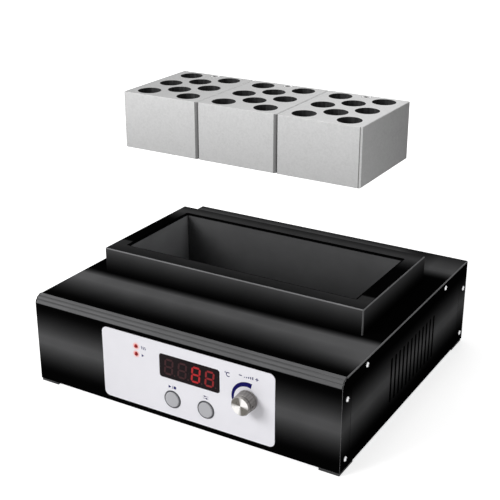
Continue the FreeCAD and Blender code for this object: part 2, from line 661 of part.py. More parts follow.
def well_collar():
    body = new_body("WellCollar")
    outer = new_sketch(body, "xy", "dims.case_height")
    rounded(outer, *spread(HALF_COLLAR, HALF_COLLAR_DEPTH), "dims.collar_radius")
    pad(body, outer, "dims.collar_height")
    hollow = new_sketch(body, "xy", "dims.case_height")
    rounded(hollow, *spread(f"{HALF_COLLAR} - dims.collar_sheet",
                            f"{HALF_COLLAR_DEPTH} - dims.collar_sheet"),
            "dims.collar_radius/2")
    pocket(body, hollow, "dims.collar_height - dims.collar_sheet", along_normal=True)
    mouth = new_sketch(body, "xy", RIM)
    rounded(mouth, *spread(f"{HALF_LINER} + dims.mouth_gap",
                           f"{HALF_LINER_DEPTH} + dims.mouth_gap"), "dims.collar_radius")
    pocket(body, mouth, "dims.collar_sheet")
    bosses = new_sketch(body, "xy", "dims.case_height")
    for x, y in collar_bosses():
        circle(bosses, x, y, "dims.boss_radius")
    pad(body, bosses, "dims.collar_height - dims.collar_sheet/2")
    threads = new_sketch(body, "xy", "dims.case_height")
    for x, y in collar_bosses():
        circle(threads, x, y, "dims.screw_hole")
    pocket(body, threads, "dims.collar_height/2", along_normal=True)
    rim = number(RIM)
    reach = number(f"{HALF_LINER} + dims.mouth_gap + dims.collar_sheet")
    reach_y = number(f"{HALF_LINER_DEPTH} + dims.mouth_gap + dims.collar_sheet")
    middle = number(WELL_Y)

    def outer_rim(edge):
        spot = edge.BoundBox
        outside = max(abs(spot.XMin), abs(spot.XMax)) > reach
        outside = outside or max(abs(spot.YMin - middle), abs(spot.YMax - middle)) > reach_y
        return near(spot.ZMin, rim) and near(spot.ZMax, rim) and outside

    ease(body, "Fillet", outer_rim, "dims.edge_radius")
    node(body, "well_collar")
    screws = [screw(x, y, UNDER_TOP, "z", -1, "dims.screw_reach + dims.sheet")
              for x, y in collar_bosses()]
    node(group(screws), "collar_screws")


# Well: liner, heated plate, heater mat, insulation and the cradle below

def well_box(half_x, half_y, low, high):
    x, y = spread(half_x, half_y)
    return box(x, y, (low, high))


def sensor_hole(radius):
    return rod("dims.sensor_offset", WELL_Y, "0", radius, f"{SEAT} - dims.sensor_cover")


def well():
    liner = cut(well_box(HALF_LINER, HALF_LINER_DEPTH, PAD_BASE, f"{RIM} - dims.liner_drop"),
                [well_box(HALF_WELL, HALF_WELL_DEPTH, "0", f"{RIM} + dims.overrun")])
    node(liner, "well_liner")
    inner = (f"{HALF_WELL} - dims.plate_gap", f"{HALF_WELL_DEPTH} - dims.plate_gap")
    sleeve = "dims.sensor_radius + dims.sleeve_gap"
    node(cut(well_box(*inner, MAT_TOP, SEAT), [sensor_hole(sleeve)]), "heater_plate")
    node(cut(well_box(*inner, PAD_TOP, MAT_TOP), [sensor_hole(sleeve)]), "heater_mat")
    switch_hole = rod("-dims.sensor_offset", WELL_Y, "0",
                      "dims.cutout_radius + dims.sleeve_gap", PAD_TOP)
    node(cut(well_box(*inner, PAD_BASE, PAD_TOP), [sensor_hole(sleeve), switch_hole]),
         "base_insulation")
    tip = f"({SEAT} - dims.sensor_cover)"
    tail = f"({PAD_BASE} - dims.tray_sheet - dims.sensor_tail)"
    node(rod("0", "0", "0", "dims.sensor_radius", f"{tip} - {tail}"), "temperature_sensor",
         "dims.sensor_offset", WELL_Y, tail)
    node(rod("0", "0", "0", "dims.cutout_radius", "dims.cutout_height"), "thermal_cutout",
         "-dims.sensor_offset", WELL_Y, f"{PAD_TOP} - dims.cutout_height")


def wool_ring(low, high, outer_x, outer_y, tools=()):
    ring = well_box(outer_x, outer_y, low, high)
    core = well_box(f"{HALF_LINER} + dims.wool_gap", f"{HALF_LINER_DEPTH} + dims.wool_gap",
                    "0", f"{RIM} + dims.overrun")
    return cut(ring, [core, *tools])


def insulation():
    outer_x = f"{HALF_LINER} + dims.wool_thickness"
    outer_y = f"{HALF_LINER_DEPTH} + dims.wool_thickness"
    node(wool_ring(PAD_BASE, f"{UNDER_TOP} - dims.head_height - dims.wool_gap",
                   outer_x, outer_y), "well_insulation")
    notch = "2*(dims.boss_radius + dims.boss_room)"
    corners = [centred_box(x, y, "dims.case_height - dims.overrun", notch, notch,
                           "dims.collar_height") for x, y in collar_bosses()]
    inset = "(dims.collar_sheet + dims.wool_gap)"
    node(wool_ring("dims.case_height", f"{RIM} - dims.collar_sheet - dims.wool_gap",
                   f"{HALF_COLLAR} - {inset}", f"{HALF_COLLAR_DEPTH} - {inset}", corners),
         "collar_insulation")


CRADLE_X = f"({HALF_LINER} + dims.wool_thickness)"
CRADLE_Y = f"({HALF_LINER_DEPTH} + dims.wool_thickness)"


def cradle_screw_spots():
    half_x = f"({CRADLE_X} + dims.cradle_foot/2)"
    half_y = f"({CRADLE_Y} - dims.cradle_screw_inset)"
    return [(f"({sx})*{half_x}", f"{WELL_Y} + ({sy})*{half_y}")
            for sx in (-1, 1) for sy in (-1, 1)]


def well_cradle():
    """A hat-shaped bracket: deck under the well, two legs and two feet on the floor."""
    body = new_body("WellCradle")
    profile = new_sketch(body, "xz", f"-({WELL_Y} + {CRADLE_Y})")
    foot_x = f"({CRADLE_X} + dims.cradle_foot)"
    leg_x = f"({CRADLE_X} - dims.tray_sheet)"
    foot_top = f"({FLOOR} + dims.tray_sheet)"
    deck_base = f"({PAD_BASE} - dims.tray_sheet)"
    outline(profile, [
        (f"-{foot_x}", FLOOR), (f"-{leg_x}", FLOOR), (f"-{leg_x}", deck_base),
        (leg_x, deck_base), (leg_x, FLOOR), (foot_x, FLOOR), (foot_x, foot_top),
        (CRADLE_X, foot_top), (CRADLE_X, PAD_BASE), (f"-{CRADLE_X}", PAD_BASE),
        (f"-{CRADLE_X}", foot_top), (f"-{foot_x}", foot_top)])
    pad(body, profile, f"2*{CRADLE_Y}")
    holes = new_sketch(body, "xy", foot_top)
    for x, y in cradle_screw_spots():
        circle(holes, x, y, "dims.screw_hole")
    pocket(body, holes, "dims.tray_sheet")
    ways = new_sketch(body, "xy", PAD_BASE)
    circle(ways, "dims.sensor_offset", WELL_Y, "dims.sensor_radius + dims.sleeve_gap")
    pocket(body, ways, "dims.tray_sheet")
    node(body, "well_cradle")
    screws = [screw(x, y, foot_top, "z", 1, "2*dims.tray_sheet")
              for x, y in cradle_screw_spots()]
    node(group(screws), "cradle_screws")


# Front panel: overlay, window, display, lamps, buttons and their switches

def front_overlay():
    body = new_body("FrontOverlay")
    sheet = new_sketch(body, "xz")
    half_x, half_z = "dims.overlay_width/2", "dims.overlay_height/2"
    rounded(sheet, (f"dims.panel_x - {half_x}", f"dims.panel_x + {half_x}"),
            (f"dims.panel_z - {half_z}", f"dims.panel_z + {half_z}"), "dims.overlay_radius")
    pad(body, sheet, "dims.overlay_thickness")
    openings = new_sketch(body, "xz", "dims.overlay_thickness")
    front_cutouts(openings, "dims.sleeve_gap")
    pocket(body, openings, "dims.overlay_thickness")
    node(body, "front_overlay")


def display():
    body = new_body("DisplayWindow")
    window_back = "(dims.sheet + dims.display_skirt)"
    for grow, low, high in (("0", f"({PANEL_FACE} - dims.display_proud)", "dims.sheet"),
                            ("dims.display_rim", "dims.sheet", window_back)):
        plate = new_sketch(body, "xz", f"-({high})")
        half_x = f"(dims.display_width/2 + {grow})"
        half_z = f"(dims.display_height/2 + {grow})"
        rounded(plate, (f"dims.display_x - {half_x}", f"dims.display_x + {half_x}"),
                (f"dims.display_z - {half_z}", f"dims.display_z + {half_z}"),
                "dims.display_radius")
        pad(body, plate, f"({high}) - ({low})")
    node(body, "display_window")
    module = centred_box("dims.display_x", f"({window_back} + dims.board_setback)/2",
                         "dims.display_z - dims.display_height/2 + dims.module_edge",
                         "dims.display_width - 2*dims.module_side",
                         f"dims.board_setback - {window_back}",
                         "dims.display_height - 2*dims.module_edge")
    node(group([module]), "display_module")


def lamps():
    bulbs = []
    for side in (-1, 1):
        stem = rod("dims.lamp_x", PANEL_FACE, lamp_z(side), "dims.lamp_radius",
                   "dims.board_setback + dims.overlay_thickness", "y")
        dome = doc.addObject("Part::Sphere", "Dome")
        bind(dome, Radius="dims.lamp_radius")
        place(dome, "dims.lamp_x", PANEL_FACE, lamp_z(side))
        bulbs.append(fuse([stem, dome]))
    node(group(bulbs), "indicator_leds")


def buttons():
    rings = []
    bore = "(dims.button_radius + dims.moving_gap)"
    for side in (-1, 1):
        front = f"({PANEL_FACE} - dims.ring_proud)"
        sleeve = rod(button_x(side), front, "dims.button_z", f"{bore} + dims.ring_width",
                     f"dims.sheet - {front}", "y")
        skirt = rod(button_x(side), "dims.sheet", "dims.button_z",
                    f"{bore} + 2*dims.ring_width + dims.sleeve_gap", "dims.ring_skirt", "y")
        hole = rod(button_x(side), f"{front} - dims.overrun", "dims.button_z", bore,
                   f"dims.sheet + dims.ring_skirt - {front} + 2*dims.overrun", "y")
        rings.append(cut(fuse([sleeve, skirt]), [hole]))
    node(group(rings), "button_bezels")
    for side, label in ((-1, "start_button"), (1, "set_button")):
        push_button(label, side)
        node(rod("0", "0", "0", "dims.plunger_radius",
                 "dims.plunger_stand + dims.plunger_depth", "y"),
             label.replace("button", "plunger"), button_x(side), STEM_END, "dims.button_z")
    switches = []
    for side in (-1, 1):
        case = centred_box(button_x(side), f"{SWITCH_FACE} + dims.switch_height/2",
                           "dims.button_z - dims.switch_size/2", "dims.switch_size",
                           "dims.switch_height", "dims.switch_size")
        well_for_plunger = rod(button_x(side), SWITCH_FACE, "dims.button_z",
                               "dims.plunger_radius + dims.moving_gap",
                               "dims.plunger_depth + dims.button_travel + dims.moving_gap", "y")
        switches.append(cut(case, [well_for_plunger]))
    node(group(switches), "tact_switches")


def push_button(label, side):
    """A domed cap with a stem, turned about its own line of travel."""
    body = new_body(label)
    profile = new_sketch(body, "xy")
    face = f"({PANEL_FACE} - dims.button_proud)"
    edge = f"({face} + dims.button_bevel)"
    cap_back = "(dims.sheet + dims.button_skirt)"
    outline(profile, [
        ("0", face), ("dims.button_radius - dims.button_bevel", face),
        ("dims.button_radius", edge), ("dims.button_radius", cap_back),
        ("dims.stem_radius", cap_back), ("dims.stem_radius", STEM_END), ("0", STEM_END)])
    revolve(body, profile)
    node(body, label, button_x(side), "0", "dims.button_z")


# Knob, encoder and control board

def knob():
    body = new_body("Knob")
    back = f"({PANEL_FACE} - dims.knob_gap)"
    front = f"({back} - dims.knob_length)"
    face_radius = "(dims.knob_radius - dims.knob_taper)"
    groove_radius = f"({face_radius} - dims.knob_groove)"
    groove = f"({front} + dims.groove_set)"
    groove_floor = f"({groove} + dims.groove_side)"
    recess = f"({back} - dims.nut_height - dims.nut_room_depth)"
    recess_radius = "(dims.nut_radius + dims.nut_room)"
    bore = "(dims.shaft_radius + dims.fit_gap)"
    bore_end = f"({front} + dims.knob_web)"
    profile = new_sketch(body, "xy")
    outline(profile, [
        ("0", f"{front} + dims.knob_dish"), (f"{face_radius} - dims.knob_bevel", front),
        (face_radius, f"{front} + dims.knob_bevel"), (face_radius, groove),
        (groove_radius, groove_floor), (groove_radius, f"{groove_floor} + dims.groove_floor"),
        (face_radius, f"{groove_floor} + dims.groove_floor + dims.groove_side"),
        ("dims.knob_radius", f"{back} - dims.knob_back_bevel"),
        ("dims.knob_radius - dims.knob_back_bevel", back),
        (recess_radius, back), (recess_radius, recess), (bore, recess), (bore, bore_end),
        ("0", bore_end)])
    revolve(body, profile)
    set_screw = f"({back} - dims.set_screw_back)"
    screw_way = new_sketch(body, "yz")
    circle(screw_way, set_screw, "0", "dims.set_screw_hole")
    pocket(body, screw_way, "dims.knob_radius + dims.overrun", along_normal=True)
    node(body, "knob", "dims.knob_x", "0", "dims.knob_z")
    node(rod("0", "0", "0", "dims.set_screw_radius",
             f"{face_radius} - {bore} - dims.set_screw_sink", "x"), "knob_set_screw",
         f"dims.knob_x + {bore}", set_screw, "dims.knob_z")
    shaft_front = f"({bore_end} + dims.moving_gap)"
    node(rod("0", "0", "0", "dims.shaft_radius", f"{SHAFT_END} - {shaft_front}", "y"),
         "encoder_shaft", "dims.knob_x", shaft_front, "dims.knob_z")


def encoder():
    case_front = "(dims.board_setback - dims.encoder_depth)"
    nut_front = f"({PANEL_FACE} - dims.nut_height)"
    bush_front = f"({nut_front} - dims.bush_proud)"
    way = rod("dims.knob_x", f"{bush_front} - dims.overrun", "dims.knob_z",
              "dims.shaft_radius + 2*dims.fit_gap",
              f"{SHAFT_END} + dims.moving_gap - {bush_front} + dims.overrun", "y")
    case = centred_box("dims.knob_x", f"{case_front} + dims.encoder_depth/2",
                       "dims.knob_z - dims.encoder_size/2", "dims.encoder_size",
                       "dims.encoder_depth", "dims.encoder_size")
    bush = rod("dims.knob_x", bush_front, "dims.knob_z", "dims.bush_radius",
               f"{case_front} - {bush_front} + dims.overrun", "y")
    node(cut(fuse([case, bush]), [way]), "encoder_body")
    nut = doc.addObject("Part::Prism", "Nut")
    nut.Polygon = 6
    nut.Placement = FreeCAD.Placement(FreeCAD.Vector(), TURN["y"])
    bind(nut, Circumradius="dims.nut_radius", Height="dims.nut_height")
    place(nut, "dims.knob_x", nut_front, "dims.knob_z")
    thread = rod("dims.knob_x", f"{nut_front} - dims.overrun", "dims.knob_z",
                 "dims.bush_radius + dims.fit_gap", "dims.nut_height + 2*dims.overrun", "y")
    node(cut(nut, [thread]), "encoder_nut")


def control_board():
    board = centred_box("dims.panel_x", "dims.board_setback + dims.board_thickness/2",
                        "dims.panel_z - dims.board_height/2", "dims.board_width",
                        "dims.board_thickness", "dims.board_height")
    header = centred_box("dims.ribbon_x", f"{BOARD_BACK} + dims.header_depth/2",
                         f"{FLOOR} + dims.header_rise", "dims.ribbon_width + 2*dims.header_side",
                         "dims.header_depth", "dims.header_height")
    holes = [rod(x, "0", z, "dims.screw_hole", f"{BOARD_BACK} + dims.overrun", "y")
             for x, z in board_corners()]
    node(cut(fuse([board, header]), holes), "control_board")
    posts = [rod(x, "dims.sheet", z, "dims.standoff_radius", "dims.board_setback - dims.sheet",
                 "y") for x, z in board_corners()]
    bores = [rod(x, "dims.board_setback - dims.screw_reach - dims.overrun", z,
                 "dims.screw_hole", "dims.screw_reach + 2*dims.overrun", "y")
             for x, z in board_corners()]
    node(group([cut(post, [bore]) for post, bore in zip(posts, bores)]), "board_standoffs")
    node(group([screw(x, BOARD_BACK, z, "y") for x, z in board_corners()]), "board_screws")


# Power board at the back, with its transformer, relay and heat sink

POWER_Y = f"({REAR_INSIDE} - dims.power_inset - dims.power_depth/2)"
POWER_BASE = f"({FLOOR} + dims.power_rise)"
POWER_TOP = f"({POWER_BASE} + dims.board_thickness)"


def power_corners():
    half_x = "(dims.power_width/2 - dims.standoff_inset)"
    half_y = "(dims.power_depth/2 - dims.standoff_inset)"
    return [(f"(dims.power_x + ({sx})*{half_x})", f"({POWER_Y} + ({sy})*{half_y})")
            for sx in (-1, 1) for sy in (-1, 1)]


def power_board():
    board = centred_box("dims.power_x", POWER_Y, POWER_BASE, "dims.power_width",
                        "dims.power_depth", "dims.board_thickness")
    hole_top = f"{POWER_TOP} + dims.overrun"
    holes = [rod(x, y, "0", "dims.screw_hole", hole_top) for x, y in power_corners()]
    node(cut(board, holes), "power_board")
    posts = [cut(rod(x, y, FLOOR, "dims.standoff_radius", "dims.power_rise"),
                 [rod(x, y, "0", "dims.screw_hole", hole_top)]) for x, y in power_corners()]
    node(group(posts), "power_standoffs")
    node(group([screw(x, y, POWER_TOP, "z", 1, "dims.screw_reach + dims.board_thickness")
                for x, y in power_corners()]), "power_screws")
    transformer_x = "dims.power_x + dims.transformer_x"
    core = centred_box(transformer_x, POWER_Y, POWER_TOP, "dims.core_width", "dims.core_depth",
                       "dims.core_height")
    winding = centred_box(transformer_x, POWER_Y, f"{POWER_TOP} + dims.winding_rise",
                          "dims.winding_width", "dims.winding_depth", "dims.winding_height")
    node(fuse([core, winding]), "transformer")
    node(group([centred_box("dims.power_x + dims.relay_x", POWER_Y, POWER_TOP,
                            "dims.relay_width", "dims.relay_depth", "dims.relay_height")]),
         "relay")
    sink_x = "dims.power_x + dims.sink_x"
    fins = [centred_box(f"{sink_x} + ({n} - ({FIN_COUNT} - 1)/2)*dims.fin_pitch", POWER_Y,
                        POWER_TOP, "dims.fin_thickness", "dims.sink_depth", "dims.fin_height")
            for n in range(FIN_COUNT)]
    web = centred_box(sink_x, POWER_Y, POWER_TOP, "dims.web_width", "dims.sink_depth",
                      "dims.web_height")
    node(fuse([web, *fins]), "heat_sink")


def ribbon_cable():
    """A flat cable from the control board, under the well, to the power board."""
    body = new_body("RibbonCable")
    profile = new_sketch(body, "yz", "dims.ribbon_x - dims.ribbon_width/2")
    thick = "dims.ribbon_thickness"
    front = f"({BOARD_BACK} + dims.header_depth)"
    rear = f"({POWER_Y} - dims.power_depth/2 + dims.ribbon_end)"
    high = f"({FLOOR} + dims.header_rise + dims.header_height - dims.overrun)"
    outline(profile, [
        (front, FLOOR), (rear, FLOOR), (rear, POWER_BASE), (f"{rear} - {thick}", POWER_BASE),
        (f"{rear} - {thick}", f"{FLOOR} + {thick}"), (f"{front} + {thick}", f"{FLOOR} + {thick}"),
        (f"{front} + {thick}", high), (front, high)])
    pad(body, profile, "dims.ribbon_width")
    node(body, "ribbon_cable")


# Mains inlet with its fuse drawer

DRAWER_Z = "(dims.inlet_z + dims.drawer_z)"
SOCKET_Z = "(dims.inlet_z + dims.socket_z)"
FLANGE_FACE = f"({CASE_DEPTH} + dims.inlet_flange)"
DRAWER_FRONT = f"({FLANGE_FACE} - dims.drawer_depth)"


def inlet():
    body = new_body("InletBody")
    flange = new_sketch(body, "xz", f"-{FLANGE_FACE}")
    half_x, half_z = "dims.inlet_flange_width/2", "dims.inlet_flange_height/2"
    rounded(flange, (f"dims.inlet_x - {half_x}", f"dims.inlet_x + {half_x}"),
            (f"dims.inlet_z - {half_z}", f"dims.inlet_z + {half_z}"), "dims.inlet_corner")
    pad(body, flange, "dims.inlet_flange")
    shell = new_sketch(body, "xz", f"-{CASE_DEPTH}")
    half_x, half_z = "dims.inlet_body_width/2", "dims.inlet_body_height/2"
    rounded(shell, (f"dims.inlet_x - {half_x}", f"dims.inlet_x + {half_x}"),
            (f"dims.inlet_z - {half_z}", f"dims.inlet_z + {half_z}"), "dims.edge_radius")
    pad(body, shell, "dims.inlet_depth")
    # The socket narrows towards its upper corners, as mains inlets do.
    socket = new_sketch(body, "xz", f"-{FLANGE_FACE}")
    half = "dims.socket_width/2"
    low, high = (f"{SOCKET_Z} - dims.socket_height/2", f"{SOCKET_Z} + dims.socket_height/2")
    corner = "dims.socket_corner"
    outline(socket, [
        (f"dims.inlet_x - {half}", low), (f"dims.inlet_x + {half}", low),
        (f"dims.inlet_x + {half}", f"{high} - {corner}"),
        (f"dims.inlet_x + {half} - {corner}", high),
        (f"dims.inlet_x - {half} + {corner}", high),
        (f"dims.inlet_x - {half}", f"{high} - {corner}")])
    pocket(body, socket, "dims.socket_depth", along_normal=True)
    bay = new_sketch(body, "xz", f"-{FLANGE_FACE}")
    half_x = "(dims.drawer_width/2 + dims.moving_gap)"
    half_z = "(dims.drawer_height/2 + dims.moving_gap)"
    rounded(bay, (f"dims.inlet_x - {half_x}", f"dims.inlet_x + {half_x}"),
            (f"{DRAWER_Z} - {half_z}", f"{DRAWER_Z} + {half_z}"), "dims.drawer_corner")
    pocket(body, bay, "dims.drawer_depth + dims.overrun", along_normal=True)
    fixings = new_sketch(body, "xz", f"-{FLANGE_FACE}")
    for side in (-1, 1):
        circle(fixings, f"dims.inlet_x + ({side})*dims.inlet_screw_pitch/2", "dims.inlet_z",
               "dims.screw_hole")
    pocket(body, fixings, "dims.inlet_flange", along_normal=True)
    ways = new_sketch(body, "xz", f"-{FLANGE_FACE}")
    for dx, dz in PIN_PLACES:
        half_x, half_z = "dims.pin_thickness/2", "dims.pin_width/2"
        outline(ways, [
            (f"dims.inlet_x + ({dx}) - {half_x}", f"{SOCKET_Z} + ({dz}) - {half_z}"),
            (f"dims.inlet_x + ({dx}) + {half_x}", f"{SOCKET_Z} + ({dz}) - {half_z}"),
            (f"dims.inlet_x + ({dx}) + {half_x}", f"{SOCKET_Z} + ({dz}) + {half_z}"),
            (f"dims.inlet_x + ({dx}) - {half_x}", f"{SOCKET_Z} + ({dz}) + {half_z}")])
    pocket(body, ways, "dims.inlet_depth + dims.inlet_flange", along_normal=True)
    node(body, "inlet_body")
    pins = [centred_box(f"dims.inlet_x + ({dx})",
                        f"{FLANGE_FACE} - dims.socket_depth + dims.pin_length/2 - {PIN_BACK}/2",
                        f"{SOCKET_Z} + ({dz}) - dims.pin_width/2", "dims.pin_thickness",
                        f"dims.pin_length + {PIN_BACK}", "dims.pin_width")
            for dx, dz in PIN_PLACES]
    node(group(pins), "inlet_pins")
    node(group([screw(f"dims.inlet_x + ({side})*dims.inlet_screw_pitch/2", FLANGE_FACE,
                      "dims.inlet_z", "y", 1, "dims.inlet_flange + dims.screw_reach")
                for side in (-1, 1)]), "inlet_screws")


PIN_PLACES = [("-dims.pin_pitch/2", "-dims.pin_stagger"),
              ("dims.pin_pitch/2", "-dims.pin_stagger"), ("0", "dims.pin_stagger")]
PIN_BACK = "(dims.inlet_depth + dims.inlet_flange - dims.socket_depth + dims.pin_tail)"


def fuse_drawer():
    half_x, half_z = "dims.drawer_width/2", "dims.drawer_height/2"
    slide = box((f"dims.inlet_x - {half_x}", f"dims.inlet_x + {half_x}"),
                (DRAWER_FRONT, FLANGE_FACE), (f"{DRAWER_Z} - {half_z}", f"{DRAWER_Z} + {half_z}"))
    lip = box((f"dims.inlet_x - {half_x}/2", f"dims.inlet_x + {half_x}/2"),
              (f"{FLANGE_FACE} - dims.overrun", f"{FLANGE_FACE} + dims.drawer_lip"),
              (f"{DRAWER_Z} - {half_z}", f"{DRAWER_Z} - {half_z} + dims.lip_height"))
    bed_half = "(dims.fuse_length/2 + dims.sleeve_gap)"
    bed_end = f"({DRAWER_FRONT} + dims.drawer_end)"
    bed_floor = f"({DRAWER_Z} - {half_z} + dims.drawer_floor)"
    bed = box((f"dims.inlet_x - {bed_half}", f"dims.inlet_x + {bed_half}"),
              (bed_end, f"{bed_end} + 2*(dims.fuse_radius + dims.fuse_room)"),
              (bed_floor, f"{DRAWER_Z} + {half_z} + dims.overrun"))
    node(cut(fuse([slide, lip]), [bed]), "fuse_drawer")
    node(rod("0", "0", "0", "dims.fuse_radius", "dims.fuse_length", "x"), "fuse",
         "dims.inlet_x - dims.fuse_length/2", f"{bed_end} + dims.fuse_room + dims.fuse_radius",
         f"{bed_floor} + dims.fuse_radius")


# Power switch: frame, rocker and its pivot pin

ROCKER_REACH = "(sqrt(dims.rocker_half^2 + dims.rocker_rise^2) + dims.moving_gap)"
SWITCH_WIDTH = "(dims.rocker_width + 2*dims.moving_gap + 2*dims.rocker_wall)"
SWITCH_HEIGHT = f"(2*{ROCKER_REACH} + 2*dims.rocker_wall)"
PIVOT_Y = f"({CASE_DEPTH} - dims.rocker_sink)"


def rocker_switch():
    case_back = f"({PIVOT_Y} - {ROCKER_REACH} - dims.rocker_wall)"
    shell = box((f"dims.rocker_x - {SWITCH_WIDTH}/2", f"dims.rocker_x + {SWITCH_WIDTH}/2"),
                (case_back, CASE_DEPTH),
                (f"dims.rocker_z - {SWITCH_HEIGHT}/2", f"dims.rocker_z + {SWITCH_HEIGHT}/2"))
    half_x = f"({SWITCH_WIDTH}/2 + dims.bezel_border)"
    half_z = f"({SWITCH_HEIGHT}/2 + dims.bezel_border)"
    bezel = box((f"dims.rocker_x - {half_x}", f"dims.rocker_x + {half_x}"),
                (CASE_DEPTH, f"{CASE_DEPTH} + dims.rocker_bezel"),
                (f"dims.rocker_z - {half_z}", f"dims.rocker_z + {half_z}"))
    half_gap = "(dims.rocker_width/2 + dims.moving_gap)"
    cavity = box((f"dims.rocker_x - {half_gap}", f"dims.rocker_x + {half_gap}"),
                 (f"{PIVOT_Y} - {ROCKER_REACH}",
                  f"{CASE_DEPTH} + dims.rocker_bezel + dims.overrun"),
                 (f"dims.rocker_z - {ROCKER_REACH}", f"dims.rocker_z + {ROCKER_REACH}"))
    pin_way = rod(f"dims.rocker_x - {SWITCH_WIDTH}/2", PIVOT_Y, "dims.rocker_z",
                  "dims.pin_radius", SWITCH_WIDTH, "x")
    node(cut(fuse([shell, bezel]), [cavity, pin_way]), "rocker_frame")
    node(rod("0", "0", "0", "dims.pin_radius", SWITCH_WIDTH, "x"), "rocker_pin",
         f"dims.rocker_x - {SWITCH_WIDTH}/2", PIVOT_Y, "dims.rocker_z")
    tabs = [centred_box("dims.rocker_x", f"{case_back} - dims.contact_length/2",
                        f"dims.rocker_z + ({n})*dims.contact_pitch - dims.contact_width/2",
                        "dims.contact_thickness", "dims.contact_length", "dims.contact_width")
            for n in (-1, 0, 1)]
    node(group(tabs), "rocker_contacts")
    body = new_body("Rocker")
    profile = new_sketch(body, "yz", "-dims.rocker_width/2")
    outline(profile, [("dims.rocker_rise", "-dims.rocker_half"), ("dims.rocker_valley", "0"),
                      ("dims.rocker_rise", "dims.rocker_half")],
            arcs={2: ("0", "0", 1)})
    pad(body, profile, "dims.rocker_width")
    way = new_sketch(body, "yz", "-dims.rocker_width/2")
    circle(way, "0", "0", "dims.pin_radius + dims.fit_gap")
    pocket(body, way, "dims.rocker_width", along_normal=True)
    tilt = FreeCAD.Rotation(X_AXIS, number("dims.rocker_tilt"))
    body.Placement = FreeCAD.Placement(FreeCAD.Vector(), tilt)
    body.setExpression("Placement.Rotation.Angle", "dims.rocker_tilt")
    node(body, "rocker", "dims.rocker_x", PIVOT_Y, "dims.rocker_z")


def ground_stud():
    x, y = "dims.stud_x", f"({REAR_INSIDE} - dims.stud_inset)"
    stud = rod(x, y, FLOOR, "dims.stud_radius", "dims.stud_height")
    nut = doc.addObject("Part::Prism", "Nut")
    nut.Polygon = 6
    bind(nut, Circumradius="dims.stud_nut", Height="dims.stud_nut_height")
    place(nut, x, y, FLOOR)
    node(fuse([stud, nut]), "ground_stud")


# Blocks: chamfered bars with five staggered rows of tube wells and a probe hole

def tube_places():
    side, row = "dims.tube_pitch_side", "dims.tube_pitch_row"
    corners = [(f"({sx})*{side}", f"({ry})*{row}") for ry in (-2, 0, 2) for sx in (-1, 1)]
    return corners + [("0", f"-{row}"), ("0", row)]


def heat_block(label, column):
    body = new_body(label)
    half_x, half_y = "dims.block_width/2", "dims.block_depth/2"
    blank = new_sketch(body, "xy")
    outline(blank, [(f"-{half_x}", f"-{half_y}"), (half_x, f"-{half_y}"),
                    (half_x, half_y), (f"-{half_x}", half_y)])
    pad(body, blank, "dims.block_height")
    size = number("dims.block_width") / 2

    def upright(edge):
        return straight(edge, Z_AXIS) and near(abs(edge.BoundBox.XMin), size)

    ease(body, "Chamfer", upright, "dims.block_chamfer")
    tubes = new_sketch(body, "xy", "dims.block_height")
    for x, y in tube_places():
        circle(tubes, x, y, "dims.tube_radius")
    pocket(body, tubes, "dims.tube_depth")
    probe = new_sketch(body, "xy", "dims.block_height")
    circle(probe, "0", f"{half_y} - dims.probe_edge", "dims.probe_radius")
    pocket(body, probe, "dims.probe_depth")
    high = number("dims.block_height")

    def outer_edge(edge):
        spot = edge.BoundBox
        level = near(spot.ZMin, spot.ZMax) and (near(spot.ZMin, 0) or near(spot.ZMin, high))
        return level and edge.Curve.TypeId == "Part::GeomLine"

    ease(body, "Chamfer", outer_edge, "dims.block_edge")
    node(body, label, f"({column})*(dims.block_width + dims.block_gap)", WELL_Y,
         f"{SEAT} + dims.seat_clearance + dims.block_lift")


def build():
    front_fascia()
    top_cover()
    side_panel("left_side_panel", f"-{HALF_CASE}")
    side_panel("right_side_panel", HALF_TRAY)
    rear_panel()
    base_tray()
    feet()
    side_screws()
    well_collar()
    well()
    insulation()
    well_cradle()
    front_overlay()
    display()
    lamps()
    buttons()
    knob()
    encoder()
    control_board()
    power_board()
    ribbon_cable()
    inlet()
    fuse_drawer()
    rocker_switch()
    ground_stud()
    for column, label in ((-1, "block_left"), (0, "block_middle"), (1, "block_right")):
        heat_block(label, column)


build()
doc.recompute()
for item in doc.Objects:
    if "Invalid" in item.State or "Error" in item.State:
        raise RuntimeError(f"{item.Label} failed: {item.State}")
for item in nodes:
    if item.Shape.isNull() or not item.Shape.isValid():
        raise RuntimeError(f"{item.Label} has no valid solid")

os.makedirs("parts", exist_ok=True)
for item in nodes:
    item.Shape.exportStep(f"parts/{item.Label}.step")
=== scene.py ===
import bmesh
import bpy
import json
from math import atan2, cos, pi, radians, sin
from mathutils import Matrix, Vector

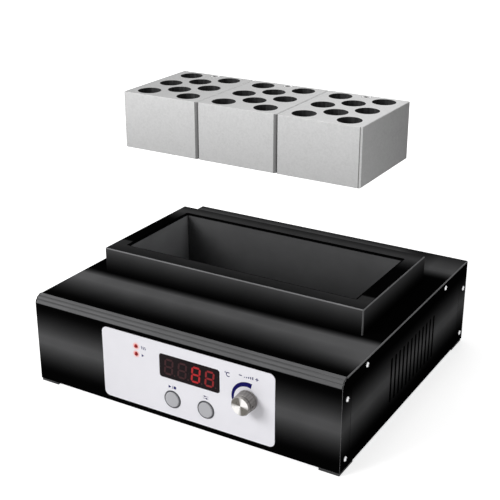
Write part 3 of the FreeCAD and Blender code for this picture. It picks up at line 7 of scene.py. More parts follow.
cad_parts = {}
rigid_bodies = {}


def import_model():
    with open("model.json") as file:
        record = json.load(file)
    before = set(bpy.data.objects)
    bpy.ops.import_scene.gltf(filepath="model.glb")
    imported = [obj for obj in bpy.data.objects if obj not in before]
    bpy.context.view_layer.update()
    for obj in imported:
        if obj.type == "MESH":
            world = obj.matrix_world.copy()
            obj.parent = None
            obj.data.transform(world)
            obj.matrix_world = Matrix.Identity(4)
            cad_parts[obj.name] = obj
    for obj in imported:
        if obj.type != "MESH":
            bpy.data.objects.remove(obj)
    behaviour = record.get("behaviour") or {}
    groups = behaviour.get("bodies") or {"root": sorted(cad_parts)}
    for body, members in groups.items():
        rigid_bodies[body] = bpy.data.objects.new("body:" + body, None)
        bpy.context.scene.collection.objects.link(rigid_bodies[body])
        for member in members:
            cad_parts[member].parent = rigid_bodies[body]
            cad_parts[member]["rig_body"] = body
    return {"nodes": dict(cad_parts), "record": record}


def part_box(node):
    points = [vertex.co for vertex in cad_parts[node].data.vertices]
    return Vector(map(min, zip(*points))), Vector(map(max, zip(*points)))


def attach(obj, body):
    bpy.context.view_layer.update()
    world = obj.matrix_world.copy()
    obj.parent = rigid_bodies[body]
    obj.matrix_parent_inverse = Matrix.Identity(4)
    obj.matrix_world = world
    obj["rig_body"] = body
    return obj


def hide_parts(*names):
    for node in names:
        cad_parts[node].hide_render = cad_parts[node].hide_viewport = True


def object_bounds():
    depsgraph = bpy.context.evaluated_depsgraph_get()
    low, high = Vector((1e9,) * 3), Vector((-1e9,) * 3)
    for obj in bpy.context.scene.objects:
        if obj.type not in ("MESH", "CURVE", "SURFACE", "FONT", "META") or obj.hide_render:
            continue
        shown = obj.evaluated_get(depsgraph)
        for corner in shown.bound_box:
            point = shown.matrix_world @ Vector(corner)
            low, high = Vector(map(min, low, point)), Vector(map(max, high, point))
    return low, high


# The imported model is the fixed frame; every piece below takes its place from it.
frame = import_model()
cad_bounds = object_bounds()
cad = frame["nodes"]
scene = bpy.context.scene

MM = 0.001

# Corners of a square round its middle, in turn
SQUARE = ((-1, -1), (1, -1), (1, 1), (-1, 1))

# Camera of the photograph: place, downward tilt, turn, lens and sensor width
CAMERA_PLACE = (0.43906, -0.75354, 0.46985)
CAMERA_TILT = radians(22.27)
CAMERA_TURN = radians(30.66)
CAMERA_LENS = 75.47
CAMERA_SENSOR = 36

# Stage: half size, tone and brightness of the floor, near the object and far off
FLOOR_HALF = 4.0
FLOOR_TONE = 0.85
FLOOR_LIFT = 0.60
FAR_LIFT = 1.0
LIFT_STARTS = 0.3
LIFT_ENDS = 1.5

# Light: sky, then each lamp's name, place, target, size in metres and power in watts
SKY_STRENGTH = 0.18
LAMPS = (
    ("key", (-1.1, -1.5, 1.1), (0, 0, 0.08), (1.2, 0.9), 31),
    ("top", (0.1, 0.3, 2.2), (0, 0, 0.1), (2.2, 2.2), 24),
)

# Light that the eye takes for half as bright is only about a fifth as strong
EYE_POWER = 2.2

# Black paint: its bare tone, the tone of the painted highlight on folds and edges, the
# width of that painted highlight in millimetres, how well rounded and true normals agree
# where an edge line starts and where it is full, and the part of the front where the
# painted highlight shows
BLACK = 0.0015
EDGE_HIGHLIGHT_TONE = 0.22
EDGE_HIGHLIGHT_RADIUS = 0.7
EDGE_MASK_STARTS = 0.98
EDGE_MASK_FULL = 0.80
EDGE_HIGHLIGHT_BANDS = (("X", 100, 130, 200, 201), ("Y", -201, -200, -121, -119))

# Blocks: their lower and upper end, over which their painted light grows lighter upward,
# share of their tone where dusty, and in millimetres the width of their bevels and how
# far the probe hole lies in from the back
BLOCKS = ("block_left", "block_middle", "block_right")
BLOCK_RISE = ("Z", 201, 251)
DUSTY = 0.87
BEVEL = 1.2
PROBE_EDGE = 5

# Inside a block, in millimetres: the least wall round a bore, half the width of a space
# round the probe hole, and how far that space's ends lie in from the back
BORE_WALL = 3
PROBE_HALF = 3.2
PROBE_FRONT = 8.5
PROBE_BACK = 1


# Material building

def new_material(name, colour, roughness, metallic=0.0, **sockets):
    """A material with one surface shader; plain values are set on its own sockets."""
    mat = bpy.data.materials.new(name)
    mat.use_nodes = True
    shader = mat.node_tree.nodes["Principled BSDF"]
    shader.inputs["Base Color"].default_value = (*colour, 1)
    shader.inputs["Roughness"].default_value = roughness
    shader.inputs["Metallic"].default_value = metallic
    for socket, value in sockets.items():
        shader.inputs[socket.replace("_", " ")].default_value = value
    mat.diffuse_color = (*colour, 1)
    return mat


def add_node(mat, kind, **settings):
    item = mat.node_tree.nodes.new(kind)
    for name, value in settings.items():
        setattr(item, name, value)
    return item


def link(mat, source, target):
    mat.node_tree.links.new(source, target)


def shader_of(mat):
    return mat.node_tree.nodes["Principled BSDF"]


def place_coords(mat, stretch=(1, 1, 1)):
    """The surface's own coordinates in metres, stretched along each axis."""
    coords = add_node(mat, "ShaderNodeTexCoord")
    mapping = add_node(mat, "ShaderNodeMapping")
    mapping.inputs["Scale"].default_value = stretch
    link(mat, coords.outputs["Object"], mapping.inputs["Vector"])
    return mapping.outputs["Vector"]


def noise(mat, size, detail=2.0, stretch=(1, 1, 1)):
    """Even noise whose features are about the given size in millimetres."""
    item = add_node(mat, "ShaderNodeTexNoise")
    item.inputs["Scale"].default_value = 1 / (size * MM)
    item.inputs["Detail"].default_value = detail
    link(mat, place_coords(mat, stretch), item.inputs["Vector"])
    return item.outputs["Fac"]


def ramp(mat, source, low, high, from_low=0.3, from_high=0.7):
    """Spreads a part of a value's range, such as the middle of a noise, over two values."""
    item = add_node(mat, "ShaderNodeMapRange")
    item.inputs["From Min"].default_value = from_low
    item.inputs["From Max"].default_value = from_high
    item.inputs["To Min"].default_value = low
    item.inputs["To Max"].default_value = high
    link(mat, source, item.inputs["Value"])
    return item.outputs["Result"]


def mix_colour(mat, factor, first, second):
    """Two colours, or a colour socket and a colour, mixed by a factor socket."""
    item = add_node(mat, "ShaderNodeMix", data_type="RGBA")
    link(mat, factor, item.inputs["Factor"])
    for socket, colour in ((item.inputs[6], first), (item.inputs[7], second)):
        if isinstance(colour, tuple):
            socket.default_value = (*colour, 1)
        else:
            link(mat, colour, socket)
    return item.outputs[2]


def vary_colour(mat, size, first, second, detail=3.0, stretch=(1, 1, 1)):
    """Cloudy change of colour across the surface."""
    factor = ramp(mat, noise(mat, size, detail, stretch), 0, 1)
    link(mat, mix_colour(mat, factor, first, second), shader_of(mat).inputs["Base Color"])


def vary_roughness(mat, size, low, high, stretch=(1, 1, 1)):
    link(mat, ramp(mat, noise(mat, size, 2.0, stretch), low, high),
         shader_of(mat).inputs["Roughness"])


def bump(mat, size, height, strength=1.0, stretch=(1, 1, 1), detail=2.0):
    """Fine relief of the given feature size and height, both in millimetres."""
    item = add_node(mat, "ShaderNodeBump")
    item.inputs["Strength"].default_value = strength
    item.inputs["Distance"].default_value = height * MM
    link(mat, noise(mat, size, detail, stretch), item.inputs["Height"])
    link(mat, item.outputs["Normal"], shader_of(mat).inputs["Normal"])


def axis_value(mat, axis):
    """One coordinate of the surface point, in metres."""
    split = add_node(mat, "ShaderNodeSeparateXYZ")
    link(mat, place_coords(mat), split.inputs["Vector"])
    return split.outputs[axis]


def math_node(mat, operation, first, second):
    item = add_node(mat, "ShaderNodeMath", operation=operation)
    for socket, value in zip(item.inputs, (first, second)):
        if isinstance(value, (int, float)):
            socket.default_value = value
        else:
            link(mat, value, socket)
    return item.outputs["Value"]


def slope(mat, value, start, end):
    """Rises smoothly from 0 at the start to 1 at the end, both in millimetres."""
    item = add_node(mat, "ShaderNodeMapRange", interpolation_type="SMOOTHSTEP")
    flip = start > end
    item.inputs["From Min"].default_value = min(start, end) * MM
    item.inputs["From Max"].default_value = max(start, end) * MM
    item.inputs["To Min"].default_value = 1 if flip else 0
    item.inputs["To Max"].default_value = 0 if flip else 1
    link(mat, value, item.inputs["Value"])
    return item.outputs["Result"]


def fade(mat, axis, low, full, end, high):
    """Even rise from low to full and even fall from end to high, as the eye sees it."""
    value = axis_value(mat, axis)
    rise = ramp(mat, value, 0, 1, low * MM, full * MM)
    fall = ramp(mat, value, 0, 1, high * MM, end * MM)
    return math_node(mat, "POWER", math_node(mat, "MINIMUM", rise, fall), EYE_POWER)


def sharp_edge_mask(mat, radius):
    """Full along sharp edges and nothing on flat faces; it places painted highlight and painted
    shade along edges.
    """
    soft = add_node(mat, "ShaderNodeBevel", samples=6)
    soft.inputs["Radius"].default_value = radius * MM
    facing = add_node(mat, "ShaderNodeVectorMath", operation="DOT_PRODUCT")
    true = add_node(mat, "ShaderNodeNewGeometry")
    link(mat, soft.outputs["Normal"], facing.inputs[0])
    link(mat, true.outputs["Normal"], facing.inputs[1])
    return ramp(mat, facing.outputs["Value"], 0, 1, EDGE_MASK_STARTS, EDGE_MASK_FULL)


def grey(level):
    """The faintly blue grey of the paint and of dark metal."""
    return (level, level, 1.02 * level)


def plain(level):
    return (level, level, level)


def within(mat, factor, bands):
    """Narrows a factor to where all the given fades are."""
    for limits in bands:
        factor = math_node(mat, "MULTIPLY", factor, fade(mat, *limits))
    return factor


def black_paint(name, layers=(), highlight_edges=False, shaded_edges=0.0):
    """Satin black powder coat with soft grey bands of painted sheen, and painted highlight or
    painted shade along sharp edges.
    """
    mat = new_material(name, grey(BLACK), 0.45, 0.0, Specular_IOR_Level=0.0)
    cloud = ramp(mat, noise(mat, 30), 0.86, 1.0)
    tone = mix_colour(mat, cloud, grey(0), grey(BLACK))
    for level, *bands in layers:
        tone = mix_colour(mat, within(mat, cloud, bands), tone, grey(level))
    if highlight_edges:
        # Painted highlight along sharp edges, kept to the front right end
        bright_edges = within(mat, sharp_edge_mask(mat, EDGE_HIGHLIGHT_RADIUS), EDGE_HIGHLIGHT_BANDS)
        tone = mix_colour(mat, bright_edges, tone, grey(EDGE_HIGHLIGHT_TONE))
    # Painted shade along sharp edges and round the slots
    if shaded_edges:
        tone = mix_colour(mat, sharp_edge_mask(mat, shaded_edges), tone, grey(BLACK))
    link(mat, tone, shader_of(mat).inputs["Base Color"])
    vary_roughness(mat, 25, 0.40, 0.50)
    bump(mat, 1.2, 0.015, 0.3)
    return mat


def share_along(mat, axis, start, end):
    """Even rise from 0 to 1 between two places on an axis, in millimetres."""
    return ramp(mat, axis_value(mat, axis), 0, 1, start * MM, end * MM)


def round_glow(mat, base, tint, centre, inner, outer):
    """Tints a surface round a point, fading out between two radii in millimetres; it carries
    painted light.
    """
    distance = add_node(mat, "ShaderNodeVectorMath", operation="DISTANCE")
    link(mat, place_coords(mat), distance.inputs[0])
    distance.inputs[1].default_value = centre
    near = slope(mat, distance.outputs["Value"], outer, inner)
    return mix_colour(mat, near, base, tint)


def ground_metal(name, axis, start, end, first, last):
    """Fine-ground aluminium whose tone changes evenly between two places on an axis, as painted
    light and shade.
    """
    mat = new_material(name, plain(last), 0.5, 0.1, Specular_IOR_Level=0.15)
    along = share_along(mat, axis, start, end)
    clean = mix_colour(mat, along, plain(first), plain(last))
    dusty = mix_colour(mat, along, plain(DUSTY * first), plain(DUSTY * last))
    grain = mix_colour(mat, ramp(mat, noise(mat, 1.6, 4.0), 0, 1), dusty, clean)
    cloud = mix_colour(mat, ramp(mat, noise(mat, 9, 3.0), 0, 0.5), grain, clean)
    link(mat, cloud, shader_of(mat).inputs["Base Color"])
    vary_roughness(mat, 4, 0.46, 0.56)
    bump(mat, 0.35, 0.03, 0.5)
    return mat


# Bright painted highlight ring and its dark outline round the probe holes: tone, and the radii
# in millimetres where a ring is full and where it is gone
PROBE_GLINT_RINGS = ((0.10, 4.4, 4.6), (0.98, 4.0, 4.2))


def glint_probe_holes(mat):
    """A bright ring of painted highlight with a dark outline round the probe hole of each
    block.
    """
    shader = shader_of(mat)
    tone = shader.inputs["Base Color"].links[0].from_socket
    for name in BLOCKS:
        low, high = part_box(name)
        hole = ((low.x + high.x) / 2, high.y - PROBE_EDGE * MM, high.z)
        for level, inner, outer in PROBE_GLINT_RINGS:
            tone = round_glow(mat, tone, plain(level), hole, inner, outer)
    link(mat, tone, shader.inputs["Base Color"])
    return mat


def shade_beside_right_bevels(mat):
    """Painted shade: a fine dark line beside the bevel at the right end of each block's face.
    """
    shader = shader_of(mat)
    tone = shader.inputs["Base Color"].links[0].from_socket
    for name in BLOCKS:
        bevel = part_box(name)[1].x / MM - BEVEL
        line = fade(mat, "X", bevel - 1.0, bevel - 0.8, bevel - 0.1, bevel)
        tone = mix_colour(mat, line, tone, plain(0.14))
    link(mat, tone, shader.inputs["Base Color"])
    return mat


# Painted shade in the bores: near-black walls, with vertical streaks of painted glint
def bore_metal():
    mat = new_material("bore_metal", grey(0.045), 0.45, 0.0, Specular_IOR_Level=0.08)
    vary_colour(mat, 2.2, grey(0.026), grey(0.066), 2.0, (1, 1, 0.05))
    bump(mat, 0.8, 0.02, 0.4, (1, 1, 0.05))
    return mat


def machined_metal(name, colour, roughness, stretch):
    """Drawn or milled metal with fine lines along one direction."""
    mat = new_material(name, colour, roughness, 1.0)
    darker = tuple(0.82 * c for c in colour)
    vary_colour(mat, 2.0, darker, colour, 2.0, stretch)
    vary_roughness(mat, 1.2, roughness - 0.06, roughness + 0.08, stretch)
    bump(mat, 0.4, 0.01, 0.4, stretch)
    return mat


def plastic(name, colour, roughness, grain=0.5, depth=0.02, cloud=1.12, **sockets):
    """Moulded plastic: even colour with a slight cloud and a fine moulded grain."""
    mat = new_material(name, colour, roughness, 0.0, **sockets)
    lighter = tuple(min(1, cloud * c) for c in colour)
    vary_colour(mat, 15, colour, lighter)
    vary_roughness(mat, 6, roughness - 0.04, roughness + 0.05)
    bump(mat, grain, depth, 0.4)
    return mat


def middle_of(node):
    low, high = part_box(node)
    return (low + high) / 2


# Spread of the painted light and dark reflection sectors on the knob's end, and fineness of its
# turned rings
SECTOR_DARK = -0.22
SECTOR_LIGHT = 0.30
RING_SCALE = 2500

# Keeps the knob's middle from a division by nothing
TINY = 1e-8


def knob_face():
    """Lathe-turned end of the knob: painted reflection in light and dark sectors that meet at
    its middle.
    """
    mat = new_material("knob_face", grey(0.6), 0.35, 0.3, Specular_IOR_Level=0.2)
    middle = middle_of("knob")
    across = math_node(mat, "SUBTRACT", axis_value(mat, "X"), middle.x)
    up = math_node(mat, "SUBTRACT", axis_value(mat, "Z"), middle.z)
    product = math_node(mat, "MULTIPLY", across, up)
    squares = math_node(mat, "ADD", math_node(mat, "MULTIPLY", across, across),
                        math_node(mat, "MULTIPLY", up, up))
    turn = math_node(mat, "DIVIDE", product, math_node(mat, "ADD", squares, TINY))
    sector = ramp(mat, turn, 0, 1, SECTOR_DARK, SECTOR_LIGHT)
    rings = add_node(mat, "ShaderNodeTexNoise")
    rings.inputs["Scale"].default_value = RING_SCALE
    link(mat, squares, rings.inputs["Vector"])
    light = mix_colour(mat, sector, (0.13, 0.12, 0.105), (0.95, 0.93, 0.91))
    lines = ramp(mat, rings.outputs["Fac"], 0.0, 0.15)
    link(mat, mix_colour(mat, lines, light, (0.3, 0.29, 0.28)),
         shader_of(mat).inputs["Base Color"])
    vary_roughness(mat, 2, 0.26, 0.36)
    return mat


# The knob's two ring lines, in millimetres behind its face
KNOB_RINGS = (2.6, 9.6)


def knob_side():
    """Turned side of the knob with two darker ring lines."""
    mat = new_material("knob_side", grey(0.3), 0.4, 0.3, Specular_IOR_Level=0.15)
    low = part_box("knob")[0]
    tone = mix_colour(mat, ramp(mat, noise(mat, 1.6, 2.0, (1, 0.05, 1)), 0, 1),
                      (0.16, 0.15, 0.145), (0.33, 0.315, 0.30))
    for start in KNOB_RINGS:
        place = low.y / MM + start
        tone = mix_colour(mat, fade(mat, "Y", place, place + 0.25, place + 0.45, place + 0.7),
                          tone, grey(0.03))
    link(mat, tone, shader_of(mat).inputs["Base Color"])
    vary_roughness(mat, 2, 0.34, 0.44)
    return mat


def fibre():
    mat = new_material("insulation", (0.78, 0.77, 0.72), 0.95)
    vary_colour(mat, 4, (0.70, 0.68, 0.62), (0.84, 0.83, 0.79), 5.0)
    bump(mat, 0.8, 0.3, 0.8, (1, 1, 1), 4.0)
    return mat


def circuit_board():
    mat = new_material("board", (0.02, 0.16, 0.06), 0.35)
    tracks = add_node(mat, "ShaderNodeTexBrick")
    tracks.inputs["Scale"].default_value = 160
    tracks.inputs["Color1"].default_value = (0.015, 0.15, 0.05, 1)
    tracks.inputs["Color2"].default_value = (0.02, 0.2, 0.07, 1)
    tracks.inputs["Mortar"].default_value = (0.05, 0.3, 0.12, 1)
    link(mat, place_coords(mat), tracks.inputs["Vector"])
    link(mat, tracks.outputs["Color"], shader_of(mat).inputs["Base Color"])
    return mat


def glowing(name, colour, strength, base):
    mat = plastic(name, base, 0.4, 1.5, 0.003, 1.15, Specular_IOR_Level=0.1)
    shader = shader_of(mat)
    shader.inputs["Emission Color"].default_value = (*colour, 1)
    shader.inputs["Emission Strength"].default_value = strength
    return mat


# Painted shade in the well: its walls darken downward and turn black at their top edge;
# fine lines in metal run along X or Z
WELL_SHADE_FADE = ("Z", -20, 100, 104.8, 105.6)
LINES_X = (0.02, 1, 1)
LINES_Z = (1, 1, 0.02)

materials = {
    "black_paint": black_paint("black_paint"),
    "zinc": machined_metal("zinc", (0.50, 0.51, 0.53), 0.38, LINES_X),
    "overlay": plastic("overlay", (0.785, 0.778, 0.815), 0.5, 0.25, 0.01, 1.02,
                       Specular_IOR_Level=0.2),
    "window": plastic("window", (0.010, 0.006, 0.007), 0.15, 8.0, 0.002,
                      Specular_IOR_Level=0.05),
    "lamp_red": plastic("lamp_red", (0.30, 0.010, 0.010), 0.3, 2.0, 0.002,
                        Specular_IOR_Level=0.2),
    "button_grey": plastic("button_grey", (0.445, 0.445, 0.465), 0.45, 0.4, 0.012, 1.04,
                           Specular_IOR_Level=0.2),
    "trim_dark": plastic("trim_dark", (0.05, 0.052, 0.06), 0.35),
    "knob_metal": knob_side(),
    "steel": machined_metal("steel", (0.58, 0.58, 0.60), 0.35, LINES_Z),
    "bright_steel": machined_metal("bright_steel", (0.78, 0.78, 0.79), 0.32, LINES_X),
    # Painted light: the blocks' faces lighter towards the top, with painted shade lines beside
    # the right bevels
    "block_metal": shade_beside_right_bevels(ground_metal("block_metal", *BLOCK_RISE, 0.51, 0.66)),
    "plate_metal": machined_metal("plate_metal", (0.42, 0.43, 0.44), 0.4, LINES_X),
    # Painted shade: the well's walls darker downward
    "liner_metal": black_paint("liner_metal", [(0.112, WELL_SHADE_FADE)]),
    "mat": plastic("mat", (0.38, 0.09, 0.05), 0.6, 1.0, 0.05),
    "insulation": fibre(),
    "board": circuit_board(),
    "black_plastic": plastic("black_plastic", (0.02, 0.02, 0.022), 0.42, 0.5, 0.03),
    "rocker_black": plastic("rocker_black", (0.014, 0.014, 0.015), 0.2, 2.0, 0.004),
    "brass": machined_metal("brass", (0.70, 0.52, 0.22), 0.3, LINES_Z),
    "rubber": plastic("rubber", (0.022, 0.022, 0.023), 0.75, 0.6, 0.05),
    "ribbon_grey": plastic("ribbon_grey", (0.42, 0.42, 0.45), 0.5, 1.2, 0.1),
    "fuse_glass": plastic("fuse_glass", (0.75, 0.80, 0.80), 0.08, 4.0, 0.002),
}


# Painted reflections: soft grey bands of sheen on the black panels. Each layer has a tone and
# one or more fades: axis, then where it starts, is full, ends being full and is gone, in
# millimetres.
WALL_BAND = ("Z", 10, 39, 46, 75)
UPPER_FACE = ("Z", 82.6, 83.4, 90, 91)
REAR_BAND = ("Y", 83, 101, 107, 172)
NOSE_SPAN = ("X", -149.6, -149, 149, 149.6)
PAINTED_SHEEN_LAYERS = {
    "front_fascia": [(0.085, WALL_BAND),
                     # Painted highlight along the rounded nose, with two darker bands as
                     # painted shade in its grooves
                     (0.140, ("Z", 76.8, 77.6, 90, 91), NOSE_SPAN),
                     (0.100, ("Z", 79.3, 80.2, 80.9, 81.7), NOSE_SPAN),
                     (0.100, ("Z", 82.0, 82.6, 83.1, 83.6), NOSE_SPAN)],
    "top_cover": [(0.112, ("Y", -119, -79, -67, -55), UPPER_FACE),
                  (0.104, ("Y", -119, -93, -67, -55), UPPER_FACE, ("X", 50, 150, 300, 301)),
                  # Behind the collar the painted sheen is weaker left of X 85 to 125, as
                  # painted shade of the collar
                  (0.070, ("Y", 100, 115, 129, 152), UPPER_FACE, ("X", -153, -152, 85, 125)),
                  (0.105, REAR_BAND, UPPER_FACE, ("X", 85, 125, 160, 161))],
    "left_side_panel": [(0.075, WALL_BAND)],
    "right_side_panel": [(0.100, WALL_BAND)],
    "rear_panel": [(0.085, WALL_BAND)],
    "well_collar": [(0.115, ("Z", 80.5, 111, 112, 113))],
}

# Width in millimetres of the painted shade line along the edges of these panels and their slots
SHADED_EDGES = {"left_side_panel": 1.0, "right_side_panel": 1.0}

# Painted reflection bands across the rim, in front of the well and behind it
RIM_SHEEN_LAYERS = [(0.033, ("Y", -95, -40, -30, -27)), (0.050, ("Y", 34, 62, 66, 95))]


def dress_cad_nodes():
    """Gives each node the finish that the record names for it."""
    for part in frame["record"]["subparts"]:
        name = part["node"]
        mesh = cad[name].data
        mesh.materials.clear()
        if name in PAINTED_SHEEN_LAYERS:
            mesh.materials.append(black_paint(f"black_paint_{name}", PAINTED_SHEEN_LAYERS[name],
                                              name == "front_fascia", SHADED_EDGES.get(name, 0)))
        else:
            mesh.materials.append(materials[part["material_slot"]])


def dress_faces(name, mat, chosen):
    """Gives the faces that a test picks, by middle in millimetres and normal, a finish."""
    mesh = cad[name].data
    mesh.materials.append(mat)
    place = len(mesh.materials) - 1
    for face in mesh.polygons:
        if chosen(face.center / MM, face.normal):
            face.material_index = place


# Places on the collar in millimetres: where its front right corner begins, a space that
# holds the mouth and none of the outer walls, and a level just under the rim
CORNER_X = 128.9
CORNER_Y = -52.6
MOUTH_X = 118
MOUTH_FRONT = -40
MOUTH_BACK = 62
RIM_LEVEL = 106


def dress_case():
    """Painted highlight on folds, painted reflection on the rim, painted shade on the mouth's
    cut edge and slot walls, a painted lit wall in the well, and the knob's end.
    """
    # Painted highlight on the top cover's right fold and the collar's front and right rim edges
    # and corner
    edge = black_paint("paint_fold_highlight", [(EDGE_HIGHLIGHT_TONE, ("Z", -1, 0, 200, 201))])
    dress_faces("top_cover", edge, lambda spot, side: side.x > 0.3 and 0.2 < side.z < 0.98)
    dress_faces("well_collar", edge, lambda spot, side: (
        0.3 < side.z < 0.95 and (side.y < -0.25 or side.x > 0.25)
        or spot.x > CORNER_X and spot.y < CORNER_Y and 0.25 < side.x < 0.97))
    # Painted shade: the cut edge of the well's mouth is plain black
    dress_faces("well_collar", materials["black_paint"], lambda spot, side: (
        abs(side.z) < 0.9 and abs(spot.x) < MOUTH_X and MOUTH_FRONT < spot.y < MOUTH_BACK))
    # Painted reflection on the flat top of the rim
    dress_faces("well_collar", black_paint("paint_rim_sheen", RIM_SHEEN_LAYERS),
                lambda spot, side: side.z > 0.97 and spot.z > RIM_LEVEL)
    # Painted shade: the walls of the side panels' slots are plain black
    for name in SHADED_EDGES:
        dress_faces(name, materials["black_paint"], lambda spot, side: abs(side.x) < 0.9)
    # Painted light: the well's wall facing +X is a lighter copy, still darker downward
    dress_faces("well_liner", black_paint("liner_lit_wall", [(0.42, WELL_SHADE_FADE)]),
                lambda spot, side: side.x > 0.9)
    dress_faces("knob", knob_face(), lambda spot, side: side.y < -0.98)


def dress_blocks():
    """Tops, flanks, bevels, bores and probe holes of the three blocks, with painted light and
    shade.
    """
    bore = bore_metal()
    # Painted light: the tops grow lighter from left to right
    top = glint_probe_holes(ground_metal("block_top", "X", -114, 114, 0.44, 0.72))
    # Painted shade: the outer flanks are a darker copy, darker towards the back
    flank = ground_metal("block_flank", "Y", -36, 59, 0.47, 0.27)
    # Painted shade: near-black left bevels, the shadow in the gaps between blocks
    dark = ground_metal("bevel_dark", *BLOCK_RISE, 0.03, 0.045)
    # Painted shade: the right bevels are a darker copy
    mid = ground_metal("bevel_mid", *BLOCK_RISE, 0.34, 0.40)
    # Painted highlight: the right block's right bevel is almost white
    light = ground_metal("bevel_light", *BLOCK_RISE, 0.92, 0.97)
    # Painted shade in the probe hole, with a painted highlight along its lip
    probe_wall = ground_metal("probe_wall", "Z", 250.1, 250.5, 0.02, 0.95)
    for name in BLOCKS:
        low, high = (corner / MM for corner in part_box(name))
        dress_faces(name, top, lambda spot, side: side.z > 0.98 and spot.z > high.z - 0.1)
        dress_faces(name, flank, lambda spot, side: abs(side.x) > 0.98
                    and not low.x + 1 < spot.x < high.x - 1)
        right = light if name == "block_right" else mid
        for hand, edge_x, bevel in ((-1, low.x, dark), (1, high.x, right)):
            dress_faces(name, bevel, lambda spot, side: (
                abs(spot.x - edge_x) < BEVEL + 0.1 and hand * side.x > 0.5 and abs(side.y) > 0.5
                and not low.y + BEVEL + 0.1 < spot.y < high.y - BEVEL - 0.1))
        dress_faces(name, bore, lambda spot, side: (
            low.x + BORE_WALL < spot.x < high.x - BORE_WALL
            and low.y + BORE_WALL < spot.y < high.y - PROBE_BACK
            and low.z + 1 < spot.z < high.z - 0.05 and side.z < 0.98))
        dress_faces(name, probe_wall, lambda spot, side: (
            abs(spot.x - (low.x + high.x) / 2) < PROBE_HALF
            and high.y - PROBE_FRONT < spot.y < high.y - PROBE_BACK and abs(side.z) < 0.5))


dress_cad_nodes()
dress_case()
dress_blocks()


# Mesh pieces

# Faces that meet at less than this are shaded as one
SMOOTH_ANGLE = radians(35)


def mesh_from(name, bm):
    mesh = bpy.data.meshes.new(name)
    bm.to_mesh(mesh)
    bm.free()
    return mesh


def finish_piece(name, bm, body, mats):
    """Turns a built mesh into a piece that rides on a body."""
    bmesh.ops.recalc_face_normals(bm, faces=bm.faces)
    for face in bm.faces:
        face.smooth = True
    for edge in bm.edges:
        edge.smooth = len(edge.link_faces) == 2 and edge.calc_face_angle(pi) < SMOOTH_ANGLE
    mesh = mesh_from(name, bm)
    for mat in mats:
        mesh.materials.append(mat)
    item = bpy.data.objects.new(name, mesh)
    scene.collection.objects.link(item)
    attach(item, body)
    return item


def prism(bm, outline, near, far, move=None):
    """A closed slab from an outline of X and Z, between two depths along Y."""
    front, back = ([bm.verts.new((x, depth, z)) for x, z in outline] for depth in (near, far))
    bm.faces.new(front)
    bm.faces.new(list(reversed(back)))
    for n in range(len(outline)):
        after = (n + 1) % len(outline)
        bm.faces.new((front[after], front[n], back[n], back[after]))
    if move is not None:
        bmesh.ops.transform(bm, matrix=move, verts=front + back)


def arc_points(x, z, radius, start, end, steps):
    return [(x + radius * cos(start + (end - start) * n / steps),
             z + radius * sin(start + (end - start) * n / steps)) for n in range(steps + 1)]


def ring_band(x, z, outer, inner, steps, start=0, end=2 * pi - 0.02):
    """Outline of an arc band; a full ring keeps a hairline cut."""
    return (arc_points(x, z, outer, start, end, steps)
            + arc_points(x, z, inner, end, start, steps))


def dot(x, z, radius):
    """Outline of a small round spot."""
    return arc_points(x, z, radius, 0, 2 * pi - 0.3, 18)


def around(x, z, *spots):
    """Points round a place, given in millimetres from it."""
    return [(x + dx * MM, z + dz * MM) for dx, dz in spots]


def bar(first, last, width):
    """Outline of a straight stroke between two points."""
    (x0, z0), (x1, z1) = first, last
    along = Vector((x1 - x0, z1 - z0)).normalized()
    side = Vector((-along.y, along.x)) * width / 2
    return [(x0 - side.x, z0 - side.y), (x1 - side.x, z1 - side.y),
            (x1 + side.x, z1 + side.y), (x0 + side.x, z0 + side.y)]


def solid_boxes(node):
    """Lowest and highest corner of each separate solid in a node, in order of place."""
    bm = bmesh.new()
    bm.from_mesh(cad[node].data)
    bmesh.ops.remove_doubles(bm, verts=bm.verts, dist=1e-6)
    left = set(bm.verts)
    boxes = []
    while left:
        queue = [left.pop()]
        group = []
        while queue:
            vert = queue.pop()
            group.append(vert.co.copy())
            for edge in vert.link_edges:
                other = edge.other_vert(vert)
                if other in left:
                    left.remove(other)
                    queue.append(other)
        low = Vector([min(v[axis] for v in group) for axis in range(3)])
        high = Vector([max(v[axis] for v in group) for axis in range(3)])
        boxes.append((low, high))
    bm.free()
    boxes.sort(key=lambda box: [round(value / MM) for value in (box[0] + box[1]) / 2])
    return boxes


# Screws: domed pan heads with a cross recess

SCREW_RADIUS = 2.2 * MM
SCREW_HEIGHT = 1.6 * MM
SHANK_RADIUS = 1.4 * MM
HEAD_RINGS = 7
HEAD_TURNS = 40

# Share of the head's radius that holds the recess
RECESS_SHARE = 0.65


def screw_head_mesh(radius, height):
    """A head that stands on the XY plane; its recess is cut from above afterwards."""
    rim = 0.25 * height
    crown = 1.45 * radius
    drop = crown - (crown ** 2 - radius ** 2) ** 0.5
    profile = [(radius, 0), (radius, rim)]
    for n in range(1, HEAD_RINGS + 1):
        r = radius * (1 - n / HEAD_RINGS)
        rise = (crown ** 2 - r ** 2) ** 0.5 - (crown - drop)
        profile.append((r, rim + (height - rim) * rise / drop))
    bm = bmesh.new()
    rings = []
    for r, z in profile[:-1]:
        spots = arc_points(0, 0, r, 0, 2 * pi, HEAD_TURNS)[:-1]
        rings.append([bm.verts.new((x, y, z)) for x, y in spots])
    for low, high in zip(rings, rings[1:]):
        for n in range(HEAD_TURNS):
            after = (n + 1) % HEAD_TURNS
            bm.faces.new((low[n], low[after], high[after], high[n]))
    top = bm.verts.new((0, 0, height))
    for n in range(HEAD_TURNS):
        bm.faces.new((rings[-1][n], rings[-1][(n + 1) % HEAD_TURNS], top))
    bm.faces.new(list(reversed(rings[0])))
    return mesh_from("head", bm)


